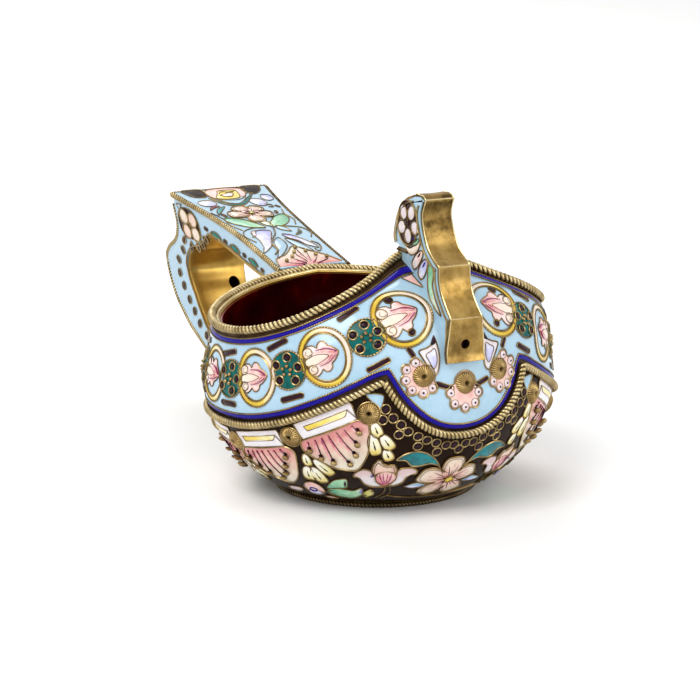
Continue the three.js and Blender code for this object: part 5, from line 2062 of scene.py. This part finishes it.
# A tulip: two white petals spread from a rose one, with a small bell behind and thin stems.
TULIP = (
    Thread(".1,-3.9 .1,-5.5 -.3,-7 -1.5,-9", 0.13),
    Thread("1,-4 1.1,-6 .6,-8 -.5,-9", 0.13),
    Thread(".6,-8 3,-8.9 7,-9.4 10.5,-9.5", 0.13),
    Cell(LEAF, dart(-2.4, -5.2, -3.8, -8.4, 1.4), (0.3, 0.9), -90),
    Cell(SHELL, "-2.4,0 -2.6,1.3 -2.4,2.6 -1.7,3.6 -1.1,3.7 -.7,2.9 .3,2.4 1.3,2.5 1.9,1.7 2.1,.5 1.9,-.2 "
         "0,-.6", (0.9, 0.1), 90, (-0.2, 0.9), height=0.28, wire=0.16),
    Thread("-2.1,.3 -2.2,1.4 -2,2.4 -1.5,3.1 -1.2,2.8 -.8,2.4 .3,1.9 1.1,2 1.5,1.4 1.7,.5", 0.07,
         lift=0.2),
    Cell(WHITE, "-6,-.4 -5.3,.7 -4.2,1.3 -3,1 -2.4,.2 -1.9,-.9 -1.6,-2.4 -.9,-3.3 -.1,-3.9 -1.2,-4.2 "
         "-2.6,-4 -3.8,-3.2 -4.5,-2 -5.1,-1 -5.8,-.9", (0, 1.3), 90, (-3.3, -1.4), height=0.28,
         wire=0.16),
    Cell(WHITE, "6,.6 5.4,1.3 4,1.7 2.6,1.3 2,.3 2,-.8 1.6,-2.2 .9,-3.2 .2,-3.8 1.4,-3.8 2.6,-3.3 "
         "3.4,-2.4 3.9,-1 4.7,-.2 5.8,0", (0, 1.3), 90, (2.8, -1), height=0.28, wire=0.16),
    Cell(ROSE, "-1.8,-.2 -1.9,-1.2 -1.6,-2.4 -.9,-3.3 -.2,-3.8 .6,-3.3 1.4,-2.4 1.9,-1.4 2,-.4 1.3,.5 "
         "0,.9 -1.2,.5", (0.45, 1), 250, lift=0.12, height=0.25),
    *(Ribbon(MAGENTA, np.array([(x, 0.3), (0.8 * x, -1.2), (0.3 * x + 0.1, -2.8)]), 0.26, (0.4, 0.9),
         lift=0.34, height=0.03) for x in (-1.2, -0.5, 0.3, 1.1)),
    Ribbon(LAVENDER, "-2.9,-.7 -2.5,-.6 -2.2,-.3", 0.5, (1, 1), lift=0.3))
# What grows beside the tulip: green leaves, a pink bud ringed in blue, and small leaves.
SPRAYS = (
    Thread("-3,-2.4 -1.4,-1.6 .2,-.6", 0.12),
    Cell(GREEN, "-.8,-1.2 0,.1 2,.5 4.5,.1 6.2,1.2 6.1,-.6 5.2,-2.4 3.5,-3.8 1.2,-3.6 -.2,-2.6", (0.2, 1),
         180, (2.8, -1.6), height=0.26),
    Ribbon(LAVENDER, "5.5,-1.1 5.9,0 6.3,1", 0.55, (1, 0.8), lift=0.22),
    Cell(GREEN, "-.5,.2 0,1.6 1.4,3.4 2.6,4 4,4.2 3.9,2.4 3.4,1.1 2,.7", (0.9, 0.3), 40, height=0.26),
    Ribbon(AUBERGINE, "3.2,1.3 3.4,2.4 3.7,3.6", 0.4, lift=0.2),
    Cell(LEAF, dart(8.2, 0.3, 6, -3, 1.5), (0.1, 0.8), -120),
    Cell(PINK, circle(-3.4, -0.7, 2.75, 26, 0.76, 90), (0.1, 0.6), 90, height=0.3, wire=0.15),
    Cell(LAVENDER, circle(-3.4, -2.3, 1.15, 18, 1.2, 90), (0.6, 0.2), 90, lift=0.2, wire=0.08),
    Thread(circle(-3.4, -0.9, 0.75, 16), 0.12, COBALT, 0.3, joined=True),
    Cell(ROSE, dart(-2, -4, 0.4, -4.6, 1.3, tip=0.7), (0.3, 0.8), 0),
    Cell(WHITE, circle(-8, -2.5, 1.9, 20, 0.6, 20), (0.2, 1), 90, height=0.26))


@dataclass
class GardenWork:
    """Flowers, leaves and ringlets on the brown ground between the shells and the foot."""

    bowl: Bowl
    shop: Workshop
    ringlet_radius: float = 0.9
    ringlets: str = (
        "27.3,21.4 24,21.7 21.4,20.4 22,18.4 19,19 15.3,15.8 15.6,17.9 12.4,17 9,16.3 8.2,14.3 5.2,15.6 "
        "2.2,15.5 26.4,23.4")
    last_ringlet: Pair = (0.0, 14.4)
    teal_leaf: Pair = (13.4, 12.6)
    flower: Pair = (0.0, 7.7)
    tulip: Pair = (25.4, 9.7)
    spray: Pair = (48.0, 5.2)
    rear_flower: Pair = (158.0, 9.0)

    def ringlet(self, pen: Ornament) -> None:
        """A dark pool in a loop of wire."""
        pen.draw((Disc(AUBERGINE, 0, 0, self.ringlet_radius - 0.15, wire=0),
                  Thread(circle(0, 0, self.ringlet_radius, 18), 0.125, RING_WIRE, joined=True)))

    def front(self) -> None:
        """The ringlets, and the flower between its leaves."""
        wall = self.bowl.wall
        rows: dict[Finish, Sheaf] = {}
        bloom: dict[Finish, Sheaf] = {}
        for _, side in SIDES:
            for place in table(self.ringlets):
                self.ringlet(Ornament(WallSpot(wall, side, *place), rows))
            Ornament(WallSpot(wall, side, *self.teal_leaf), bloom).draw(TEAL_LEAF)
            Ornament(WallSpot(wall, side, *self.flower), bloom).draw(SIDE_LEAF)
        self.ringlet(Ornament(WallSpot(wall, -1, *self.last_ringlet), rows))
        self.shop.pieces(rows, "ringlets", RING_WIRE="ringlet_chain")
        Ornament(WallSpot(wall, -1, *self.flower), bloom, 0.12).draw(FLOWER)
        self.shop.pieces(bloom, "lobe_flower", SHELL="lobe_flower",
                         TURQUOISE="lobe_leaf_left lobe_leaf_right")

    def round_about(self) -> None:
        """Tulips and sprays down both sides, and a flower under the handle at the back."""
        for name, side in SIDES:
            sheaves: dict[Finish, Sheaf] = {}
            for place, marks, size in ((self.tulip, TULIP, 1), (self.spray, SPRAYS, 1),
                                       (self.rear_flower, FLOWER, 0.85)):
                Ornament(WallSpot(self.bowl.wall, side, *place), sheaves).draw(marks, (size, size))
            self.shop.pieces(sheaves, f"garden_{name}")

    def build(self) -> None:
        """The front and then the sides."""
        self.front()
        self.round_about()


@dataclass(frozen=True)
class TopGround:
    """The handle's top: x runs from the tip towards the bowl, y across."""

    handle: Handle

    def place(self, x: Points, y: Points, lift: Points) -> Points:
        """Points on the top enamel, raised by a lift.

        Args:
            x: from the tip.
            y: across.
            lift: over the enamel.

        Returns:
            Points of shape (..., 3).
        """
        along = self.handle.tip + x
        floor = self.handle.top(along) + self.handle.clearance / 2 + self.handle.skin
        return stacked(along, y, floor + lift)


@dataclass(frozen=True)
class SideGround:
    """A side of the handle or a flank of the fin: x and y are the part's own x and z."""

    width: Callable[[Points, Points], Points]
    side: int

    def place(self, x: Points, y: Points, lift: Points) -> Points:
        """Points on the side's enamel, raised outwards by a lift."""
        return stacked(x, self.side * (self.width(x, y) + lift), y)


# The tip's panel: brown corners, a yellow field with a white scroll, and a dark teal bend round it.
TIP_PANEL = (
    Cell(BROWN, ".2,5 .2,9.3 1.8,9.1 3.4,8.2 4.8,6.2 3.5,4.8", height=0.1),
    Cell(BROWN, ".2,-4.8 .2,-9.3 1.8,-9 4,-8 4.7,-6 4.2,-4.8", height=0.1),
    Cell(SKY, "6,3.2 8.6,1.8 9.8,0 9.2,-1.6 7,-3 6,-2.6", (0, 0.4), 0, height=0.08, wire=0.08),
    Cell(PINK, ".8,4.2 2.6,4.9 5.6,3.6 7.6,1.2 7.4,-1.6 5.8,-3.8 3,-4.4 .8,-3.6", (0.1, 0.5), height=0.14,
         wire=0.14),
    Cell(YELLOW, "2,2.6 2.7,2.9 6.5,1.8 7,-.8 6,-3.2 3.2,-1.9 2,-1.4", (0.75, 0.35), lift=0.08, wire=0.1),
    Cell(WHITE, "3.9,1.4 5,1 5.9,.2 5.6,-1.2 4.7,-1.9 4.4,-.6 3.6,.2", (0, 0.3), lift=0.2, wire=0.12),
    Thread("2.9,2.2 3.2,.6 2.8,-.8 3.6,-1.7", 0.09, lift=0.22),
    Ribbon(TEAL, "4.3,6 6,4.6 8.6,2.4 10.4,.4 10.7,-.8 9.8,-2.4 7.6,-3.9 5.3,-5", 1.15, (0.7, 0.7), 0.5,
         wired=True, count=36))
# The top between the flower and the rim: leaves, curls and fine dark scrolls.
TOP_SCROLLS = (
    Cell(LAVENDER, "7.8,3.6 9.6,3 11.8,3.8 12.2,5.4 10.4,6.4 8.2,5.8", (0.05, 0.7), 0, wire=0.1),
    Cell(LAVENDER, "5.6,7.4 7.6,6.6 9.4,7.4 8.8,8.8 6.4,9", (0.2, 0.9), 180, wire=0.1),
    Ribbon(TURQUOISE, "11,-4 12.6,-5.8 15.5,-7.5", 1.1, (0.6, 0.9), 0.4, wired=True),
    Ribbon(MAGENTA, "10.6,-5 11,-6.6 12.5,-8", 0.7, (0.3, 0.7), 0.4, wired=True),
    Cell(LAVENDER, "6.6,-5.8 8.8,-4.8 10.2,-6 9.6,-8.2 7.2,-8.4", (0.1, 0.6), 0, wire=0.1),
    Cell(AUBERGINE, bar(16, -6.5, 1.7, 0.7, 12), (0.2, 0.2)),
    Cell(AUBERGINE, bar(16.4, 5.6, 1.5, 0.7, -14), (0.2, 0.2)),
    Cell(AUBERGINE, bar(13.2, 7.6, 1.5, 0.6, 20), (0.2, 0.2), wire=0.09),
    Thread("11.5,5.2 12.1,6.6 13.5,6.4 13,5.5", 0.13),
    Thread("15,7.6 18,6.9 21,7.4 24,6.4", 0.13),
    Thread("14,-8.6 18,-7.6 21.5,-7.8 25,-6.6", 0.13),
    Cell(GREEN, "17.8,6.4 18.8,4 20.4,2.6 22.2,1.2 24.2,.5 24.3,2.8 23,4.9 20.4,6.6", (0.25, 0.95), 100,
         (21.4, 3.8), height=0.24),
    Cell(GREEN, "17.6,-7.2 18.8,-4 20.6,-2.6 22.6,-1.4 24.4,-.9 24,-3.4 22.2,-5.9 20,-7.4", (0.25, 0.95),
         260, (21.3, -4.4), height=0.24),
    Cell(GREEN, dart(20, -0.2, 24.4, 0.8, 1.9), (0, 0.5), 0),
    Thread("24.2,.8 28,-.5 30,-2 33,-3.8 36,-4 38,-5.6", 0.15, lift=0.1),
    Cell(SKY, dart(24, 1.5, 27.4, 3.6, 1.7), (0.9, 0.1), 0),
    Ribbon(TEAL, "26.6,5.6 28,5.3 29.4,3.7", 0.75, (0.8, 0.8), wired=True),
    Cell(LAVENDER, "28.5,.8 29.2,2.4 31,3.6 33.6,4.9 36.4,5.4 34.6,3.6 32.2,2.6 30.4,1.2", (0.05, 0.8),
         180, height=0.24),
    Cell(SKY, "30.6,.4 32.4,2 34.8,2.9 38.2,3.4 36.4,1.6 34,.7", (0.9, 0), 0, height=0.24),
    Thread("33,5.3 34.4,6.2 36.4,5.9 38,4.6 36.6,4.3", 0.14),
    Cell(LAVENDER, "26.4,-.9 25.6,-3.2 27.2,-5.4 30.4,-5.4 33.6,-6 36.6,-7.4 33.6,-4.2 30.4,-2.7 "
         "28.4,-1.6", (0.75, 0.05), 0, (28.6, -3.8), height=0.24),
    Cell(SKY, "30,-.8 32,-.5 34.2,-.9 36.4,-2.4 38.2,-4 40,-6 36,-3.8 33,-3.2 31,-2.2", (0.9, 0), -30,
         (34, -2.2), height=0.24),
    Ribbon(WHITE, "25.6,-4 26.6,-4.9 28,-5.3 28.8,-6.1", 0.95, (0.2, 0.7), 0.3, wired=True),
    Thread("24.4,2.4 24.8,4.4 26.2,6.8 29,7.4 31,6.4", 0.13),
    Thread("24.6,-1.2 24.2,-3.4 25.4,-6.4 28,-7.6 31.4,-6.6", 0.13))
# The five-petalled flower among them.
TOP_FLOWER = (
    *petals(16.5, -0.3, "5,3.9,200 4.9,3.7,140 4.7,3.7,76 4.9,3.7,-4 5.2,3.9,266"),
    Disc(LEAF, 16.5, -0.3, 0.6, lift=0.3, wire=0.1))
# The shell that leans on the rim: its near edge, and the ends of its ribs.
RIM_SHELL_EDGE = "43.4,-7.4 40,-6.3 38.5,-3.6 36.5,-1.7 34.7,0 36,1.6 38,3.2 40,4.9 43.4,6.9"
RIM_SHELL_GRAINS = "36.2,-.1 38.2,1.3 38.3,-1.4 40.2,2.6 40.4,-2.9 41.6,4.4 42,-5"
# One side of the handle in the part's own x and z.
SIDE_ROW = (
    Cell(AUBERGINE, "-70.2,38 -70.2,42.2 -68,43.6 -64.6,43.4 -62.6,41.4 -62.4,37.9 -66,36.9", (0, 0.6),
         height=0.06),
    *(Disc(SHELL, x, z, 1.72, 0.94, tone=tone, wire=0.17, wire_finish=RING_WIRE, lift=0.08, height=0.22,
         count=20) for x, z, tone in table("-68,41.7,.25 -64.6,41.3,.5 -67.8,38.4,.45 -64.2,38.3,.25")),
    Disc(AUBERGINE, -66.1, 40, 0.5, wire=0.12, lift=0.3, count=12),
    Cell(SKY, "-70.2,44.2 -68.2,44.3 -69.2,42.8", straight=True),
    *(Cell(AUBERGINE, dart(x - u, z - w, x + u, z + w, 1.3, belly=0.6, tip=0.7, count=18), (0.2, 0.5),
         wire=0.17, wire_finish=RING_WIRE) for x, z, u, w in table("-70.5,36,-.8,-.9 -67.5,35.1,-.2,-1.1 "
         "-64.3,35.6,.3,-1.1 -62.1,36.5,.8,-.8 -60.4,37.9,1.1,-.4")),
    *(Disc(AUBERGINE, x, z, 0.92, wire=0.14, wire_finish=RING_WIRE) for x, z in table("-72.6,33.3 "
         "-76.4,30.4 -77,27.3 -75.4,24.7 -73.1,22 -70.9,19.8 -68.3,17.6 -64.8,15.7 -60.6,14 -55.8,12.7 "
         "-50.6,12 -45.6,11.7")),
    *(Cell(TEAL, dart(x - 2.2, z + 0.45, x + 2.2, z - 0.45, 1.45, belly=0.5), (0.2, 0.6), wire=0.14)
         for x, z in table("-55.3,39.6 -47.3,38.3 -39.2,36.9")),
    *(Cell(AUBERGINE, bar(x, z, 1.5, 0.7, -14), (0.2, 0.4)) for x, z in table("-59.4,40.4 -51.4,39.1 "
         "-43.2,37.7 -35.2,36.1")))


@dataclass
class HandleWork:
    """Enamel on the handle: scrollwork on its top, a row of pools and lozenges on its sides."""

    handle: Handle
    shop: Workshop
    hinge: Pair = (44.6, -0.2)
    wire: float = 0.2
    wire_hem: float = 0.95

    def rim_shell(self, pen: Ornament) -> None:
        """A pink shell that leans on the bowl's rim, with a granule near each rib's end.

        Args:
            pen: over the handle's top.
        """
        edge = smooth_line(RIM_SHELL_EDGE, 40)
        outline = np.vstack([edge, np.linspace((43.6, 6.4), (43.6, -6.9), 16)])
        pen.draw((Cell(SHELL, outline, (-0.3, 0.95), 0, (41, -0.2), height=0.25, wire=0),
                  Thread(edge, 0.16, RING_WIRE)))
        pen = pen.up(0.2)
        for x, y in table(RIM_SHELL_GRAINS):
            pen.grain(x, y, 0.45)
            rib = np.linspace((x + 0.7, y), self.hinge, 4)[:-1]
            pen.draw((Ribbon(ROSE, rib - (0, 0.4), 0.8, (0.6, 0.95), lift=-0.08),
                      Ribbon(AUBERGINE, rib, 0.24)))

    def build(self) -> None:
        """The top's pieces and each side's."""
        pen = Ornament(TopGround(self.handle), {})
        pen.draw((*TIP_PANEL, *TOP_SCROLLS))
        pen.up(0.1).draw(TOP_FLOWER)
        self.rim_shell(pen)
        self.shop.pieces(pen.sheaves, "handle_top")
        for name, side in SIDES:
            pen = Ornament(SideGround(self.handle.width, side), {})
            pen.draw(SIDE_ROW)
            _, inner = self.handle.panel_edges(0.0, self.wire_hem)
            pen.line(spaced(inner, 160), RING_WIRE, self.wire)
            self.shop.pieces(pen.sheaves, f"handle_{name}")


# One flank of the fin in the part's own x and z: an oval flower, feathers and a long leaf.
FLANK = (
    Cell(AUBERGINE, circle(16.9, 55.1, 4.3, 40, 0.86, 90), (0, 0), height=0.08, wire=0.2,
         wire_finish=RING_WIRE),
    *(Disc(WHITE, x, z, 1.5, 0.86, turn, 0.7, 0.15, lift=0.06, height=0.24, count=20) for x, z,
         turn in table("15.3,56.9,120 18.2,57.2,60 19.7,54.6,-10 17.2,52.7,-80 14.8,54,200")),
    Disc(AUBERGINE, 16.6, 55.2, 0.75, wire=0.1, lift=0.2),
    Ribbon(CREAM, "16.3,50.6 18,49.9 20.5,51 21.8,52.4", 1.5, (0.2, 0.6), 0.5, height=0.24, wired=True,
         count=20),
    Ribbon(GREEN, "19,51.4 20.3,51.9 21.4,53", 0.9, (0.6, 1), 0.4, wired=True),
    Ribbon(COBALT, "18.3,52.5 18.8,52.3 19.4,52.4", 0.5),
    Cell(ROSE, dart(22.7, 50.7, 19.2, 47.1, 2.1, belly=0.62, tip=0.5), (0.5, 0.05), 225, height=0.26,
         wire=0.16),
    Ribbon(AUBERGINE, "21.2,49.3 21.7,49.8 22.1,50.3", 0.4, lift=0.24),
    Cell(LAVENDER, dart(24.4, 49.4, 21.7, 45.6, 2.4, belly=0.6, tip=0.5), (0.75, 0), 235, height=0.26,
         wire=0.16),
    Ribbon(COBALT, "23.2,47.8 23.6,48.4 23.9,48.9", 0.4, lift=0.24),
    Cell(GREEN, "25,48.7 26.5,48.4 26.9,47.3 26.6,45 27.5,43 29.2,40.9 30,39.9 27.6,40.9 25.9,42.2 25,44 "
         "24.8,46.5", (0.9, -0.1), -70, (25.8, 44.6), height=0.24, wire=0.16))


@dataclass
class ProwWork:
    """Enamel on the fin's flanks, the wires beside its two strips, and a short rope at its foot."""

    prow: Prow
    shop: Workshop
    above_tab: float = 2.0
    below_top: float = 2.0
    front_gap: float = 0.35
    front_wire: float = 0.22
    rear_gap: float = 0.3
    rear_wire: float = 0.2
    collar: Pair = (13.4, 17.2)
    collar_rise: float = -0.75
    rope: Rope = Rope(0.45, 1.3)

    def build(self) -> None:
        """Both flanks."""
        prow = self.prow
        for name, side in SIDES:
            pen = Ornament(SideGround(lambda x, z: prow.half + prow.proud, side), {})
            pen.draw(FLANK)
            front = moved_aside(prow.front_line, -prow.strip - self.front_gap)
            low, high = prow.tab + self.above_tab, prow.crest - self.below_top
            front = front[(front[:, 1] > low) & (front[:, 1] < high)]
            rear = moved_aside(prow.rear_line, -prow.strip - self.rear_gap)
            pen.line(spaced(front, 90), RING_WIRE, self.front_wire)
            pen.line(spaced(rear, 30), RING_WIRE, self.rear_wire)
            path = pen.ground.place(np.linspace(*self.collar, 24), prow.foot + self.collar_rise, 0)
            # painted shade: the short rope at the fin's foot takes the shaded copy of the gilt rope
            self.rope.lay(pen.sheaf(DARK_ROPE), path, path * (0, 1, 0))
            self.shop.pieces(pen.sheaves, f"prow_{name}")


def aimed(right: Points, up: Points, back: Points, place: Points) -> Matrix:
    """Where an object stands, from its three axes and its place in metres."""
    return Matrix.Translation(place) @ Matrix([[*row] for row in np.stack([right, up, back], 1)]).to_4x4()


def unit(way: Points) -> Points:
    """The same direction, with a length of one."""
    return np.array(way) / np.linalg.norm(way)


@dataclass(frozen=True)
class Studio:
    """The white world, the pale floor, the soft lights and the camera at the photograph's angle."""

    camera_mm: tuple[float, float, float] = (452.5, -255.3, 153.7)
    back: tuple[float, float, float] = (0.8507, -0.4685, 0.2382)
    roll_degrees: float = 1.03
    field_pixels: float = 2726.0
    frame_pixels: float = 700.0
    sensor_mm: float = 36.0
    floor_reach: float = 4.0

    def camera(self) -> None:
        """Places the camera: its axes are the line of sight and the level line, rolled a little."""
        back = unit(self.back)
        right = unit(np.cross([0, 0, 1], back))
        up = np.cross(back, right)
        c, s = math.cos(math.radians(self.roll_degrees)), math.sin(math.radians(self.roll_degrees))
        data = bpy.data.cameras.new("camera")
        data.sensor_width = self.sensor_mm
        data.lens = self.field_pixels / self.frame_pixels * self.sensor_mm
        data.clip_start, data.clip_end = 0.01, 20.0
        camera = linked(bpy.data.objects.new("camera", data))
        camera.matrix_world = aimed(c * right + s * up, c * up - s * right, back,
                                    np.array(self.camera_mm) * MM)
        bpy.context.scene.camera = camera

    def floor(self) -> None:
        """A wide pale floor that fades into the white backdrop."""
        mesh = bpy.data.meshes.new("studio_floor")
        corners = np.array([(-1, -1, 0), (1, -1, 0), (1, 1, 0), (-1, 1, 0)]) * self.floor_reach
        mesh.from_pydata(corners, [], [(0, 1, 2, 3)])
        paint, add, shader = new_material("matt_white_board")
        paper = add("TexNoise", {"Vector": add("TexCoord").outputs["Object"]}, Scale=40.0, Detail=2.0)
        feed(shader, {"Base Color": add("ValToRGB", {"Fac": paper}, "0.3#fbfbfa 0.7#fdfdfd")},
             Roughness=0.9, Specular_IOR_Level=0.1)
        mesh.materials.append(paint)
        linked(bpy.data.objects.new("studio_floor", mesh))

    def light(self, name: str, place: tuple[float, float, float], size: float, watts: float) -> None:
        """A square soft light in metres that faces the bowl.

        Args:
            name: of the lamp.
            place: in metres.
            size: side of its square.
            watts: its power.
        """
        data = bpy.data.lights.new(name, "AREA")
        data.energy, data.size = watts, size
        away = unit(place)
        right = unit(np.cross([0.0, 1.0, 0.001], away))
        lamp = linked(bpy.data.objects.new(name, data))
        lamp.matrix_world = aimed(right, np.cross(away, right), away, place)

    def world(self) -> None:
        """White where the camera, gloss or glass sees it, and a softer grey as a light."""
        world = bpy.data.worlds.new("white_studio")
        bpy.context.scene.world = world
        world.use_nodes = True
        add = partial(add_node, world.node_tree)
        ray = add("LightPath").outputs
        most = {"operation": "MAXIMUM"}
        seen = add("Math", {0: ray["Is Camera Ray"], 1: ray["Is Glossy Ray"]}, settings=most)
        seen = add("Math", {0: seen, 1: ray["Is Transmission Ray"]}, settings=most)
        strength = add("MapRange", {"Value": seen}, To_Min=0.5, To_Max=1.0)
        feed(world.node_tree.nodes["Background"], {"Strength": strength}, Color=linear("ffffff"))

    def build(self) -> None:
        """Sets the view transform and builds the studio."""
        bpy.context.scene.view_settings.view_transform = "Standard"
        self.world()
        self.floor()
        self.light("key_softbox", (0.35, -0.75, 0.95), 0.7, 9.0)
        self.light("fill_softbox", (0.9, 0.55, 0.6), 0.8, 5.0)
        self.light("back_softbox", (-0.8, 0.1, 0.9), 0.7, 5.0)
        self.camera()


def main() -> None:
    """Builds the bowl, the handle, the prow and the studio, in that order."""
    logging.basicConfig(level=logging.INFO, format="%(message)s")
    wall, shop = Wall(), Workshop()
    bowl = Bowl(wall, shop)
    bowl.build()
    handle = Handle(wall, shop)
    handle.build()
    prow = Prow(wall, shop, float(bowl.band_middle(0.0)))
    prow.build()
    BandWork(bowl, shop).build()
    LobeWork(bowl, shop).build()
    ShellWork(bowl, shop).build()
    GardenWork(bowl, shop).build()
    HandleWork(handle, shop).build()
    ProwWork(prow, shop).build()
    Studio().build()


if __name__ == "__main__":
    main()
